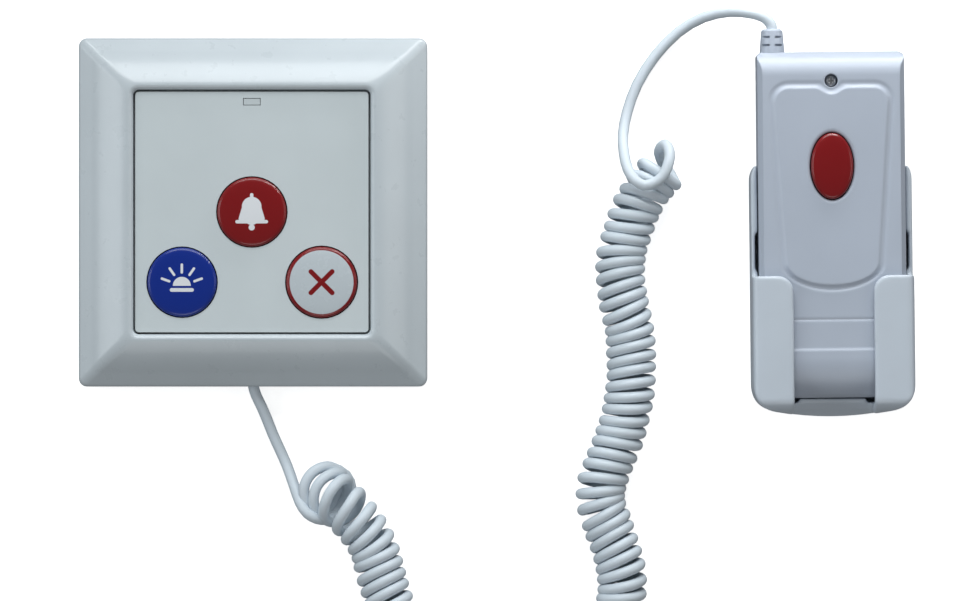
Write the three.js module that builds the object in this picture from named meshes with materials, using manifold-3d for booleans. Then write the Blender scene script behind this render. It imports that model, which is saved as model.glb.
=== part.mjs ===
// Nurse call set: a square wall station with three push buttons, joined by a curly cord to a
// call handset that rests in its wall holder. The set lies on its back on a flat surface.
// Millimetres. The origin is the middle of the wall station's back, +Z points out of its face
// and +Y up the wall.
import * as THREE from 'three';
import { mergeVertices } from 'three/addons/utils/BufferGeometryUtils.js';
import Module from 'manifold-3d';

// Clearances
const FIT = 0.3;                    // between two moulded pieces
const SEAT = 0.15;                  // under a piece that rests on another

// Wall station
const STATION_SIDE = 86;
const STATION_CORNER = 2;
const FRAME_LIFT = 1;               // gap between the frame's skirt and the wall
const FRAME_EDGE_TOP = 6.9;         // where the upright skirt ends
const FRAME_EDGE_ROUND = 1.5;
const FRAME_CREST = 15.4;
const FRAME_WALL = 1.8;
const FRAME_INNER_ROUND = 1.3;      // from the crest down into the window
const LIP_WALL = 1.2;
const PANEL_WIDTH = 57.3;
const PANEL_HEIGHT = 59.1;
const PANEL_CORNER = 0.9;
const PANEL_GAP = 0.5;              // between the panel and the frame's window
const PANEL_FACE = 14.2;
const PANEL_THICKNESS = 1.8;
const PANEL_SKIRT = 1.5;
const FLANGE_WIDTH = 2.2;           // the panel's flange under the frame's lip
const FLANGE_THICKNESS = 1.3;
const FLANGE_TOP = 10.9;

// Station push buttons
const BUTTON_RADIUS = 8.5;
const CANCEL_RADIUS = 8.7;
const BUTTON_SPREAD = 17.15;        // sideways from the middle to a lower button
const BUTTON_DROP = 17.25;          // from the call button's row down to the lower row
const BUTTON_PROUD = 1.1;
const BUTTON_TRAVEL = 0.6;
const CAP_WALL = 1.3;
const CAP_FLANGE = 1.1;
const CAP_FLANGE_THICKNESS = 0.8;
const STEM_RADIUS = 1.7;

// Rear cover and what it holds
const COVER_SIDE = 78;
const COVER_CORNER = 2;
const COVER_FLOOR = 1.6;
const COVER_WALL = 1.6;
const COVER_HEIGHT = 6.5;
const POST_X = 25.4;
const POST_Y = 26.6;
const POST_RADIUS = 2.3;
const SCREW_RADIUS = 1.1;
const SCREW_HEAD_RADIUS = 2.1;
const SCREW_HEAD_HEIGHT = 0.8;
const SCREW_LENGTH = 7.5;
const WALL_BOX_SPACING = 60.3;      // screw spacing of a standard wall box
const WALL_SLOT_RADIUS = 2.1;
const WALL_SLOT_LENGTH = 8;
const BOARD_WIDTH = 52;
const BOARD_HEIGHT = 54;
const BOARD_THICKNESS = 1.2;
const BOARD_STANDOFF = 1.4;
const STANDOFF_RADIUS = 2.2;
const BATTERY_RADIUS = 5.1;
const BATTERY_LENGTH = 28.5;
const BATTERY_Y = 17;
const BATTERY_ROOM = 0.9;           // round the battery in the board's window
const CONTACT_THICKNESS = 0.4;
const CONTACT_WIDTH = 8;
const SPRING_TURNS = 3;
const SPRING_LENGTH = 4;
const SPRING_RADIUS = 2.6;
const SPRING_WIRE = 0.35;
const SWITCH_SIDE = 6;
const SWITCH_BODY = 3.2;
const PLUNGER_RADIUS = 1.6;
const PLUNGER_HEIGHT = 0.6;
const LIGHT_INSET = 2.45;             // from the panel's top edge to the middle of the light window
const LIGHT_Y = PANEL_HEIGHT / 2 - LIGHT_INSET;
const LIGHT_WIDTH = 4;
const LIGHT_HEIGHT = 1.5;
const CHIP = { x: -12, y: 5.5, width: 10, height: 5.2, thickness: 1.5, legs: 7 };
const OSCILLATOR = { x: 12, y: 4.5, width: 7, height: 4.4, thickness: 1.6 };
const AERIAL = { x: 21.5, y: -2, radius: 2.2, wire: 0.35, turns: 5, length: 9 };

// Cord
const CORD_RADIUS = 1.35;
const CORD_SIDES = 8;
const CORD_STEP = 6;                // length of one step along a cord's tube
const COIL_RADIUS = 6.2;            // outside of the curly cord's turns
const COIL_SIDES = 12;
const COIL_STEP = 5;
const COIL_PIECES = 7;
const CORD_HEIGHT = 4.2;            // of the cord's hole in the rear cover
const BUSHING_RADIUS = 2.9;
const BUSHING_NECK = 2.2;
const BUSHING_FLANGE = 1;
const NOTCH_ROOM = 0.6;             // round the cord in the frame's notch

// Handset
const HANDSET_X = 142.6;
const HANDSET_Y = -3.1;
const HANDSET_TURN = 0.6;           // degrees, as it lies
const HANDSET_WIDTH = 36.1;
const HANDSET_LENGTH = 85.2;
const HANDSET_BACK = 2.3;
const HANDSET_DEPTH = 14;
const HANDSET_WALL = 1.6;
const HANDSET_END_ROUND = 6;
const HANDSET_TOP_CORNER = 1.4;
const HANDSET_FOOT_CORNER = 4.4;
const HANDSET_BACK_ROUND = 1.6;
const HANDSET_CHAMFER = 1.2;
const HANDSET_CHAMFER_DROP = 1.7;
const PARTING = 8.6;                // height of the line between the two shells
const PAD_TOP = 33.7;
const PAD_SHOULDER = 29.3;
const PAD_TOP_HALF = 14.4;
const PAD_FOOT_HALF = 11.8;
const PAD_FOOT = -9.2;
const PAD_TIP = -15.4;
const PAD_HEIGHT = 0.4;
const PAD_SLOPE = 1.2;
const PAD_DIP = 2.9;                // half width of the dip under the screw
const GROOVE_Y = -23.3;
const GROOVE_HALF = 0.35;
const STEP_Y = -30.2;
const STEP_HEIGHT = 0.3;
const OVAL_Y = 14.35;
const OVAL_LENGTH = 16.7;
const OVAL_WIDTH = 10.9;
const OVAL_PROUD = 1;
const OVAL_TRAVEL = 0.8;
const HANDSET_SCREW_Y = 35.3;
const HANDSET_SCREW_RADIUS = 1.5;
const HANDSET_SCREW_DEPTH = 0.9;    // head below the face
const HANDSET_BOSS = 2.9;
const HANDSET_BOARD_WIDTH = 28;
const HANDSET_BOARD_LENGTH = 58;
const HANDSET_BOARD_Y = 0;
const HANDSET_BOARD_BOTTOM = 6.2;
const HANDSET_RIB_HALF = 1;
const BOOT_X = -14.1;
const BOOT_BASE_RADIUS = 3.05;
const BOOT_TIP_RADIUS = 2.65;
const BOOT_LENGTH = 6.9;
const BOOT_SOCKET = 1.1;            // how far the boot is let into the handset's end
const BOOT_NECK = 1.7;
const BOOT_ANCHOR = 2.05;
const BOOT_SLIT = 0.55;

// Holder
const HOLDER_WALL = 1.4;
const HOLDER_FLOOR = 2;
const HOLDER_ARM = 1.5;             // thickness of the front arms
const HOLDER_WINDOW = 19.9;         // between the arms
const HOLDER_ARM_TOP = -12.6;
const HOLDER_ARM_CORNER = 2.6;
const HOLDER_WING_TOP = 14.8;
const HOLDER_WING_HEIGHT = 12;
const HOLDER_WING_SHOULDER = 3.2;
const HOLDER_FOOT_SIDE = -45.9;
const HOLDER_FOOT_MIDDLE = -47.2;
const HOLDER_FOOT_CORNER = 6.1;
const HOLDER_FOOT_ROLL = 4;         // how far the foot rolls back up to the front
const HOLDER_FOOT_ROOM = 1.2;       // below the handset's end
const HOLDER_RIM_HEIGHT = 12.5;     // of the foot between the arms
const HOLDER_SLOT_TOP = -1.7;
const HOLDER_SLOT_FOOT = -11.4;
const HOLDER_SLOT_DEPTH = 0.6;
const HOLDER_SCREW_RADIUS = 2;
const HOLDER_SCREW_SINK = 3.6;
const HOLDER_SCREW_UPPER = 8;
const HOLDER_SCREW_LOWER = -26;

// Surfaces
const surface = (color, roughness, metalness = 0) => ({ color, roughness, metalness });
const WHITE_GLOSS = surface(0xdfe4ea, 0.25);
const WHITE_PANEL = surface(0xe3e7ec, 0.35);
const WHITE_SATIN = surface(0xdde2e8, 0.4);
const RED_GLOSS = surface(0xa81520, 0.25);
const BLUE_GLOSS = surface(0x1238a4, 0.25);
const SMOKED_CLEAR = surface(0xc9ced4, 0.15);
const CORD_WHITE = surface(0xe2e6ec, 0.45);
const BOARD_GREEN = surface(0x1f6b3a, 0.5);
const BLACK_BODY = surface(0x1b1c1f, 0.5);
const STEEL = surface(0xb9bcc0, 0.3, 1);
const COPPER = surface(0xb87333, 0.35, 1);
const BATTERY_SLEEVE = surface(0x2e3440, 0.35);
const LAMP_RED = surface(0xc33a35, 0.2);

// Solids and booleans
const wasm = await Module();
wasm.setup();

const solid = (geometry) => {
  const plain = geometry.clone();
  plain.deleteAttribute('normal');
  plain.deleteAttribute('uv');
  const merged = mergeVertices(plain, 1e-4);
  return new wasm.Manifold(new wasm.Mesh({
    numProp: 3,
    vertProperties: new Float32Array(merged.attributes.position.array),
    triVerts: new Uint32Array(merged.index.array),
  }));
};

const join = (first, ...others) => others.reduce((whole, part) => whole.add(part), first);
const cut = (first, ...others) => others.reduce((whole, part) => whole.subtract(part), first);
const overlap = (first, ...others) => others.reduce((whole, part) => whole.intersect(part), first);

const geometryOf = (body) => {
  const { vertProperties, triVerts } = body.getMesh();
  const geometry = new THREE.BufferGeometry();
  geometry.setAttribute('position', new THREE.BufferAttribute(new Float32Array(vertProperties), 3));
  geometry.setIndex(new THREE.BufferAttribute(new Uint32Array(triVerts), 1));
  geometry.computeVertexNormals();
  return geometry;
};

const extruded = (shape, depth, curveSegments) =>
  new THREE.ExtrudeGeometry(shape, { depth, bevelEnabled: false, curveSegments });

// A plan outline raised from one height to another.
const upright = (shape, from, to, curveSegments = 6) =>
  solid(extruded(shape, to - from, curveSegments).translate(0, 0, from));

// A section drawn in Y and Z, carried along X.
const alongX = (shape, from, to, curveSegments = 6) => {
  const turn = new THREE.Matrix4().makeBasis(
    new THREE.Vector3(0, 1, 0), new THREE.Vector3(0, 0, 1), new THREE.Vector3(1, 0, 0));
  return solid(extruded(shape, to - from, curveSegments).applyMatrix4(turn).translate(from, 0, 0));
};

// A section drawn in X and Z, carried along Y.
const alongY = (shape, from, to, curveSegments = 6) => {
  const turn = new THREE.Matrix4().makeBasis(
    new THREE.Vector3(1, 0, 0), new THREE.Vector3(0, 0, 1), new THREE.Vector3(0, -1, 0));
  return solid(extruded(shape, to - from, curveSegments).applyMatrix4(turn).translate(0, to, 0));
};

const block = (x0, x1, y0, y1, z0, z1) => solid(
  new THREE.BoxGeometry(x1 - x0, y1 - y0, z1 - z0)
    .translate((x0 + x1) / 2, (y0 + y1) / 2, (z0 + z1) / 2));

const drum = (x, y, z0, z1, radius, sides = 20) => solid(
  new THREE.CylinderGeometry(radius, radius, z1 - z0, sides)
    .rotateX(Math.PI / 2).translate(x, y, (z0 + z1) / 2));

// A radius and height profile turned round the Z axis. It starts and ends on the axis.
const turned = (profile, sides = 32) => solid(
  new THREE.LatheGeometry(profile.map(([r, z]) => new THREE.Vector2(r, z)), sides)
    .rotateX(Math.PI / 2));

const quarter = (centreR, centreZ, radiusR, radiusZ, from, to, steps) =>
  Array.from({ length: steps + 1 }, (_, i) => {
    const angle = THREE.MathUtils.degToRad(from + (to - from) * i / steps);
    return [centreR + radiusR * Math.cos(angle), centreZ + radiusZ * Math.sin(angle)];
  });

const roundedRectangle = (width, height, radius, x = 0, y = 0) => {
  const right = x + width / 2 - radius;
  const left = x - width / 2 + radius;
  const top = y + height / 2 - radius;
  const foot = y - height / 2 + radius;
  const shape = new THREE.Shape();
  shape.absarc(right, foot, radius, -Math.PI / 2, 0);
  shape.absarc(right, top, radius, 0, Math.PI / 2);
  shape.absarc(left, top, radius, Math.PI / 2, Math.PI);
  shape.absarc(left, foot, radius, Math.PI, Math.PI * 1.5);
  shape.closePath();
  return shape;
};

const polygon = (points) => new THREE.Shape(points.map(([x, y]) => new THREE.Vector2(x, y)));

const circle = (radius, sides) => polygon(Array.from({ length: sides }, (_, i) => {
  const angle = (i + 0.5) * 2 * Math.PI / sides;
  return [radius * Math.cos(angle), radius * Math.sin(angle)];
}));

const curveThrough = (points) => new THREE.CatmullRomCurve3(
  points.map(([x, y, z]) => new THREE.Vector3(x, y, z)), false, 'centripetal');

// A stretch of a longer curve, from one share of its length to another
class CurveStretch extends THREE.Curve {
  constructor(whole, from, to) {
    super();
    this.whole = whole;
    this.from = from;
    this.to = to;
  }

  getPoint(t) {
    return this.whole.getPointAt(this.from + (this.to - this.from) * t);
  }
}

const rod = (curve, radius, sides, stepLength) => new THREE.ExtrudeGeometry(circle(radius, sides), {
  steps: Math.max(2, Math.round(curve.getLength() / stepLength)),
  extrudePath: curve,
  bevelEnabled: false,
});

// Assembly
const callSet = new THREE.Group();
const station = new THREE.Group();
const handset = new THREE.Group();
const cord = new THREE.Group();
handset.position.set(HANDSET_X, HANDSET_Y, 0);
handset.rotation.z = THREE.MathUtils.degToRad(HANDSET_TURN);
callSet.add(station, handset, cord);

const place = (group, name, shape, finish, x = 0, y = 0, z = 0) => {
  const geometry = shape.isBufferGeometry ? shape : geometryOf(shape);
  const mesh = new THREE.Mesh(geometry, new THREE.MeshStandardMaterial(finish));
  mesh.name = name;
  mesh.position.set(x, y, z);
  group.add(mesh);
};

// Outer frame: a mitred, slightly crowned ring with a window for the panel
const WINDOW_WIDTH = PANEL_WIDTH + 2 * PANEL_GAP;
const WINDOW_HEIGHT = PANEL_HEIGHT + 2 * PANEL_GAP;
const CREST_HALF = Math.min(WINDOW_WIDTH, WINDOW_HEIGHT) / 2 + FRAME_INNER_ROUND;
const PANEL_UNDERSIDE = PANEL_FACE - PANEL_THICKNESS;
const NOTCH_HALF = CORD_RADIUS + NOTCH_ROOM;

function frameSection(inset, bottom) {
  const half = STATION_SIDE / 2 - inset;
  const edge = FRAME_EDGE_TOP - inset * 0.4;
  const shoulder = half - FRAME_EDGE_ROUND;
  const crest = FRAME_CREST - inset;
  const slope = shoulder - CREST_HALF;
  const rise = crest - edge - FRAME_EDGE_ROUND;
  const halfOutline = new THREE.Shape();
  halfOutline.moveTo(CREST_HALF, crest);
  halfOutline.bezierCurveTo(
    CREST_HALF + slope * 0.3, crest - rise * 0.13,
    CREST_HALF + slope * 0.68, crest - rise * 0.5,
    shoulder, edge + FRAME_EDGE_ROUND);
  halfOutline.quadraticCurveTo(half - 0.2, edge + FRAME_EDGE_ROUND * 0.55, half, edge);
  const rightSide = halfOutline.getPoints(7).map((point) => [point.x, point.y]);
  const leftSide = rightSide.map(([u, z]) => [-u, z]).reverse();
  return polygon([[half, bottom], ...rightSide.reverse(), ...leftSide.reverse(), [-half, bottom]]);
}

function frameBlock(inset, bottom) {
  const half = STATION_SIDE / 2;
  const section = frameSection(inset, bottom);
  return overlap(alongX(section, -half, half), alongY(section, -half, half));
}

function outerFrame() {
  const windowCorner = PANEL_CORNER + PANEL_GAP;
  const outline = roundedRectangle(STATION_SIDE, STATION_SIDE, STATION_CORNER);
  const outer = overlap(frameBlock(0, FRAME_LIFT), upright(outline, 0, FRAME_CREST + 1, 4));
  const hollow = frameBlock(FRAME_WALL, FRAME_LIFT - 1);
  const lipSpace = roundedRectangle(
    WINDOW_WIDTH + 2 * LIP_WALL, WINDOW_HEIGHT + 2 * LIP_WALL, windowCorner + LIP_WALL);
  const lip = upright(lipSpace, FLANGE_TOP + FIT, FRAME_CREST - FRAME_WALL / 2, 3);
  const window = upright(
    roundedRectangle(WINDOW_WIDTH, WINDOW_HEIGHT, windowCorner), -1, FRAME_CREST + 1, 3);
  const notch = join(
    block(-NOTCH_HALF, NOTCH_HALF, -STATION_SIDE / 2 - 1, -STATION_SIDE / 2 + FRAME_WALL * 2, 0,
      CORD_HEIGHT),
    alongY(circle(NOTCH_HALF, 16), -STATION_SIDE / 2 - 1, -STATION_SIDE / 2 + FRAME_WALL * 2)
      .translate([0, 0, CORD_HEIGHT]));
  return cut(join(cut(outer, hollow), lip), window, notch);
}

// Face panel: a flat plate on a skirt with a flange and four screw posts
const postPlaces = [[-1, -1], [1, -1], [-1, 1], [1, 1]].map(([x, y]) => [x * POST_X, y * POST_Y]);
const buttonPlaces = {
  call: [0, 0],
  emergency: [-BUTTON_SPREAD, -BUTTON_DROP],
  cancel: [BUTTON_SPREAD, -BUTTON_DROP],
};

function facePanel() {
  const plate = upright(
    roundedRectangle(PANEL_WIDTH, PANEL_HEIGHT, PANEL_CORNER), PANEL_UNDERSIDE, PANEL_FACE, 3);
  const flangeBottom = FLANGE_TOP - FLANGE_THICKNESS;
  const skirt = upright(
    roundedRectangle(PANEL_WIDTH, PANEL_HEIGHT, PANEL_CORNER), flangeBottom, PANEL_UNDERSIDE, 3);
  const flange = upright(
    roundedRectangle(PANEL_WIDTH + 2 * FLANGE_WIDTH, PANEL_HEIGHT + 2 * FLANGE_WIDTH, PANEL_CORNER),
    flangeBottom, FLANGE_TOP, 3);
  const room = block(
    -PANEL_WIDTH / 2 + PANEL_SKIRT, PANEL_WIDTH / 2 - PANEL_SKIRT,
    -PANEL_HEIGHT / 2 + PANEL_SKIRT, PANEL_HEIGHT / 2 - PANEL_SKIRT,
    flangeBottom - 1, PANEL_UNDERSIDE);
  const posts = postPlaces.map(([x, y]) =>
    drum(x, y, COVER_FLOOR + SEAT, PANEL_UNDERSIDE + PANEL_THICKNESS / 2, POST_RADIUS, 16));
  const threads = postPlaces.map(([x, y]) =>
    drum(x, y, 0, SCREW_LENGTH + COVER_FLOOR, SCREW_RADIUS + SEAT, 12));
  const holes = Object.entries(buttonPlaces).map(([name, [x, y]]) =>
    drum(x, y, PANEL_UNDERSIDE - 1, PANEL_FACE + 1,
      (name === 'cancel' ? CANCEL_RADIUS : BUTTON_RADIUS) + FIT, 40));
  const lightHole = block(
    -LIGHT_WIDTH / 2 - SEAT, LIGHT_WIDTH / 2 + SEAT,
    LIGHT_Y - LIGHT_HEIGHT / 2 - SEAT, LIGHT_Y + LIGHT_HEIGHT / 2 + SEAT,
    PANEL_UNDERSIDE - 1, PANEL_FACE + 1);
  return cut(join(cut(join(plate, skirt, flange), room), ...posts), ...threads, ...holes, lightHole);
}

// Push button cap: a crowned cap on a flange, hollow round the stem that meets its switch
function pushButton({ radius, proud, face, underside, stemFoot, sides = 36 }) {
  const top = face + proud;
  const flangeTop = underside - FIT;
  const flangeBottom = flangeTop - CAP_FLANGE_THICKNESS;
  const round = Math.min(1.1, radius / 4);
  const crown = 0.35;
  return turned([
    [0, stemFoot],
    [STEM_RADIUS, stemFoot],
    [STEM_RADIUS, top - CAP_WALL - crown],
    [radius - CAP_WALL, top - CAP_WALL - crown],
    [radius - CAP_WALL, flangeBottom],
    [radius + CAP_FLANGE, flangeBottom],
    [radius + CAP_FLANGE, flangeTop],
    [radius, flangeTop],
    ...quarter(radius - round, top - crown - round, round, round, 0, 75, 4),
    [radius * 0.6, top - crown * 0.3],
    [0, top],
  ], sides);
}

// Tact switch: a square body with a round plunger
const tactSwitch = (bottom) => join(
  block(-SWITCH_SIDE / 2, SWITCH_SIDE / 2, -SWITCH_SIDE / 2, SWITCH_SIDE / 2, bottom,
    bottom + SWITCH_BODY),
  drum(0, 0, bottom + SWITCH_BODY / 2, bottom + SWITCH_BODY + PLUNGER_HEIGHT, PLUNGER_RADIUS, 16));

// Rear cover: a shallow tray with wall box slots, standoffs for the board and a cord hole
const standoffPlaces = [[-18, -24], [18, -24], [-23, 2], [23, 2]];

function rearCover() {
  const outside = upright(roundedRectangle(COVER_SIDE, COVER_SIDE, COVER_CORNER), 0, COVER_HEIGHT, 3);
  const inside = upright(
    roundedRectangle(COVER_SIDE - 2 * COVER_WALL, COVER_SIDE - 2 * COVER_WALL,
      Math.max(COVER_CORNER - COVER_WALL, 0.4)), COVER_FLOOR, COVER_HEIGHT + 1, 3);
  const standoffs = standoffPlaces.map(([x, y]) =>
    drum(x, y, COVER_FLOOR / 2, COVER_FLOOR + BOARD_STANDOFF, STANDOFF_RADIUS, 12));
  const cradles = [-1, 1].map((side) => block(
    side * BATTERY_LENGTH / 4 - 1, side * BATTERY_LENGTH / 4 + 1,
    BATTERY_Y - BATTERY_RADIUS - BATTERY_ROOM / 2, BATTERY_Y + BATTERY_RADIUS + BATTERY_ROOM / 2,
    COVER_FLOOR / 2, COVER_FLOOR + BOARD_STANDOFF));
  const batteryBed = alongX(
    circle(BATTERY_RADIUS + SEAT, 32), -BATTERY_LENGTH / 2, BATTERY_LENGTH / 2)
    .translate([0, BATTERY_Y, BATTERY_AXIS]);
  const shanks = postPlaces.map(([x, y]) => drum(x, y, -1, COVER_FLOOR + 1, SCREW_RADIUS + FIT, 12));
  const sinks = postPlaces.map(([x, y]) =>
    drum(x, y, -1, SCREW_HEAD_HEIGHT + SEAT, SCREW_HEAD_RADIUS + FIT, 16));
  const wallSlots = [-1, 1].map((side) => upright(
    roundedRectangle(WALL_SLOT_LENGTH, 2 * WALL_SLOT_RADIUS, WALL_SLOT_RADIUS - 0.01,
      side * WALL_BOX_SPACING / 2, 0), -1, COVER_FLOOR + 1, 6));
  const cordHole = alongY(circle(BUSHING_NECK + FIT, 16), -COVER_SIDE / 2 - 1,
    -COVER_SIDE / 2 + COVER_WALL + 1).translate([0, 0, CORD_HEIGHT]);
  const tray = join(cut(outside, inside), ...standoffs, ...cradles);
  return cut(tray, batteryBed, ...shanks, ...sinks, ...wallSlots, cordHole);
}

const rearScrew = () => turned([
  [0, SEAT],
  [SCREW_HEAD_RADIUS * 0.45, SEAT],
  [SCREW_HEAD_RADIUS, SEAT * 2],
  [SCREW_HEAD_RADIUS, SCREW_HEAD_HEIGHT],
  [SCREW_RADIUS, SCREW_HEAD_HEIGHT],
  [SCREW_RADIUS, SCREW_LENGTH],
  [0, SCREW_LENGTH + 0.6],
], 12);

// Circuit board and what stands on it
const BOARD_BOTTOM = COVER_FLOOR + BOARD_STANDOFF + SEAT;
const BOARD_TOP = BOARD_BOTTOM + BOARD_THICKNESS;
const ON_BOARD = BOARD_TOP + SEAT;
const BATTERY_AXIS = COVER_FLOOR + FIT + BATTERY_RADIUS;
const CONTACT_X = BATTERY_LENGTH / 2 + SPRING_LENGTH;

function circuitBoard() {
  const board = upright(roundedRectangle(BOARD_WIDTH, BOARD_HEIGHT, 1), BOARD_BOTTOM, BOARD_TOP, 2);
  const corners = postPlaces.map(([x, y]) =>
    drum(x, y, BOARD_BOTTOM - 1, BOARD_TOP + 1, POST_RADIUS + FIT, 16));
  const windowHalf = CONTACT_X + CONTACT_THICKNESS + BATTERY_ROOM;
  const batteryWindow = block(
    -windowHalf, windowHalf,
    BATTERY_Y - BATTERY_RADIUS - BATTERY_ROOM, BATTERY_Y + BATTERY_RADIUS + BATTERY_ROOM,
    BOARD_BOTTOM - 1, BOARD_TOP + 1);
  return cut(board, ...corners, batteryWindow);
}

const STEM_FOOT = ON_BOARD + SWITCH_BODY + PLUNGER_HEIGHT + FIT + BUTTON_TRAVEL;

function chip() {
  const { width, height, thickness, legs } = CHIP;
  const body = block(-width / 2, width / 2, -height / 2, height / 2, ON_BOARD + 0.2,
    ON_BOARD + thickness);
  const pitch = width / legs;
  const leads = Array.from({ length: legs }, (_, i) => {
    const x = (i - (legs - 1) / 2) * pitch;
    return block(x - 0.25, x + 0.25, -height / 2 - 0.9, height / 2 + 0.9, ON_BOARD, ON_BOARD + 0.5);
  });
  return join(body, ...leads);
}

const oscillator = () => upright(
  roundedRectangle(OSCILLATOR.width, OSCILLATOR.height, 1.8), ON_BOARD,
  ON_BOARD + OSCILLATOR.thickness, 4);

const helixCurve = (turns, radius, length) => curveThrough(
  Array.from({ length: turns * 10 + 1 }, (_, i) => {
    const angle = i * Math.PI / 5;
    return [length * i / (turns * 10), radius * Math.cos(angle), radius * Math.sin(angle)];
  }));

const indicatorLamp = () => turned([
  [0, ON_BOARD],
  [1.6, ON_BOARD],
  [1.6, ON_BOARD + 0.8],
  [1.2, ON_BOARD + 0.8],
  [1.2, ON_BOARD + 2.6],
  ...quarter(0, ON_BOARD + 2.6, 1.2, 1, 20, 70, 2),
  [0, ON_BOARD + 3.6],
], 14);

const lightPipe = () => join(
  block(-LIGHT_WIDTH / 2, LIGHT_WIDTH / 2, -LIGHT_HEIGHT / 2, LIGHT_HEIGHT / 2,
    ON_BOARD + 3.6 + FIT, PANEL_FACE - 0.1),
  block(-LIGHT_WIDTH / 2 - 0.8, LIGHT_WIDTH / 2 + 0.8, -LIGHT_HEIGHT / 2, LIGHT_HEIGHT / 2,
    PANEL_UNDERSIDE - FIT - 1, PANEL_UNDERSIDE - FIT));

function batteryCell() {
  const half = BATTERY_LENGTH / 2;
  return turned([
    [0, -half],
    [BATTERY_RADIUS - 0.5, -half],
    [BATTERY_RADIUS, -half + 0.5],
    [BATTERY_RADIUS, half - 1.3],
    [BATTERY_RADIUS - 0.5, half - 0.8],
    [2, half - 0.8],
    [2, half],
    [0, half],
  ], 24);
}

function contactPlate(side) {
  const half = CONTACT_THICKNESS / 2;
  const plate = block(-half, half, -CONTACT_WIDTH / 2, CONTACT_WIDTH / 2,
    COVER_FLOOR + SEAT, BATTERY_AXIS + CONTACT_WIDTH / 2);
  const foot = block(-half, 2, -CONTACT_WIDTH / 4, CONTACT_WIDTH / 4,
    COVER_FLOOR + SEAT, COVER_FLOOR + SEAT + CONTACT_THICKNESS);
  const contact = join(plate, foot);
  return side > 0 ? contact : contact.rotate([0, 0, 180]);
}

// Cord bushing in the rear cover's wall, and the clamp behind it
const BUSHING_FACE = -COVER_SIDE / 2 - FIT - BUSHING_FLANGE;

const cordBushing = () => solid(geometryOf(turned([
  [0, 0],
  [BUSHING_RADIUS, 0],
  [BUSHING_RADIUS, BUSHING_FLANGE],
  [BUSHING_NECK, BUSHING_FLANGE],
  [BUSHING_NECK, BUSHING_FLANGE + COVER_WALL + 2 * FIT],
  [BUSHING_NECK + 0.35, BUSHING_FLANGE + COVER_WALL + 2 * FIT + 0.2],
  [BUSHING_NECK - 0.4, BUSHING_FLANGE + COVER_WALL + 2 * FIT + 1.6],
  [0, BUSHING_FLANGE + COVER_WALL + 2 * FIT + 1.6],
], 20)).rotateX(-Math.PI / 2));

function cordClamp() {
  const y = -COVER_SIDE / 2 + COVER_WALL + 3;
  const bar = block(-5, 5, y, y + 2.4, COVER_FLOOR + SEAT, CORD_HEIGHT + CORD_RADIUS + 1.4);
  const hole = alongY(circle(CORD_RADIUS, 12), y - 1, y + 4).translate([0, 0, CORD_HEIGHT]);
  return cut(bar, hole);
}

// The handset's outer form, drawn in by a wall
function handsetBlock(inset) {
  const halfWidth = HANDSET_WIDTH / 2 - inset;
  const halfLength = HANDSET_LENGTH / 2 - inset;
  const back = HANDSET_BACK + inset;
  const face = HANDSET_BACK + HANDSET_DEPTH - inset;
  const endRound = HANDSET_END_ROUND - inset / 2;
  const backRound = Math.max(HANDSET_BACK_ROUND - inset, 0.3);
  const side = new THREE.Shape();
  side.absarc(halfLength - backRound, back + backRound, backRound, -Math.PI / 2, 0);
  side.absarc(halfLength - endRound, face - endRound, endRound, 0, Math.PI / 2);
  side.absarc(-halfLength + endRound, face - endRound, endRound, Math.PI / 2, Math.PI);
  side.absarc(-halfLength + backRound, back + backRound, backRound, Math.PI, Math.PI * 1.5);
  side.closePath();
  const chamfer = Math.max(HANDSET_CHAMFER - inset / 2, 0.3);
  const drop = Math.max(HANDSET_CHAMFER_DROP - inset / 2, 0.3);
  const section = new THREE.Shape();
  section.moveTo(halfWidth, face - drop);
  section.lineTo(halfWidth - chamfer, face);
  section.lineTo(-halfWidth + chamfer, face);
  section.lineTo(-halfWidth, face - drop);
  section.absarc(-halfWidth + backRound, back + backRound, backRound, Math.PI, Math.PI * 1.5);
  section.absarc(halfWidth - backRound, back + backRound, backRound, -Math.PI / 2, 0);
  section.closePath();
  const top = Math.max(HANDSET_TOP_CORNER - inset, 0.3);
  const foot = HANDSET_FOOT_CORNER - inset;
  const plan = new THREE.Shape();
  plan.absarc(halfWidth - foot, -halfLength + foot, foot, -Math.PI / 2, 0);
  plan.absarc(halfWidth - top, halfLength - top, top, 0, Math.PI / 2);
  plan.absarc(-halfWidth + top, halfLength - top, top, Math.PI / 2, Math.PI);
  plan.absarc(-halfWidth + foot, -halfLength + foot, foot, Math.PI, Math.PI * 1.5);
  plan.closePath();
  return overlap(
    alongX(side, -halfWidth - 1, halfWidth + 1, 7),
    alongY(section, -halfLength - 1, halfLength + 1, 4),
    upright(plan, back - 1, face + 1, 6));
}

const FACE = HANDSET_BACK + HANDSET_DEPTH;
const END = HANDSET_LENGTH / 2;

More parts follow.
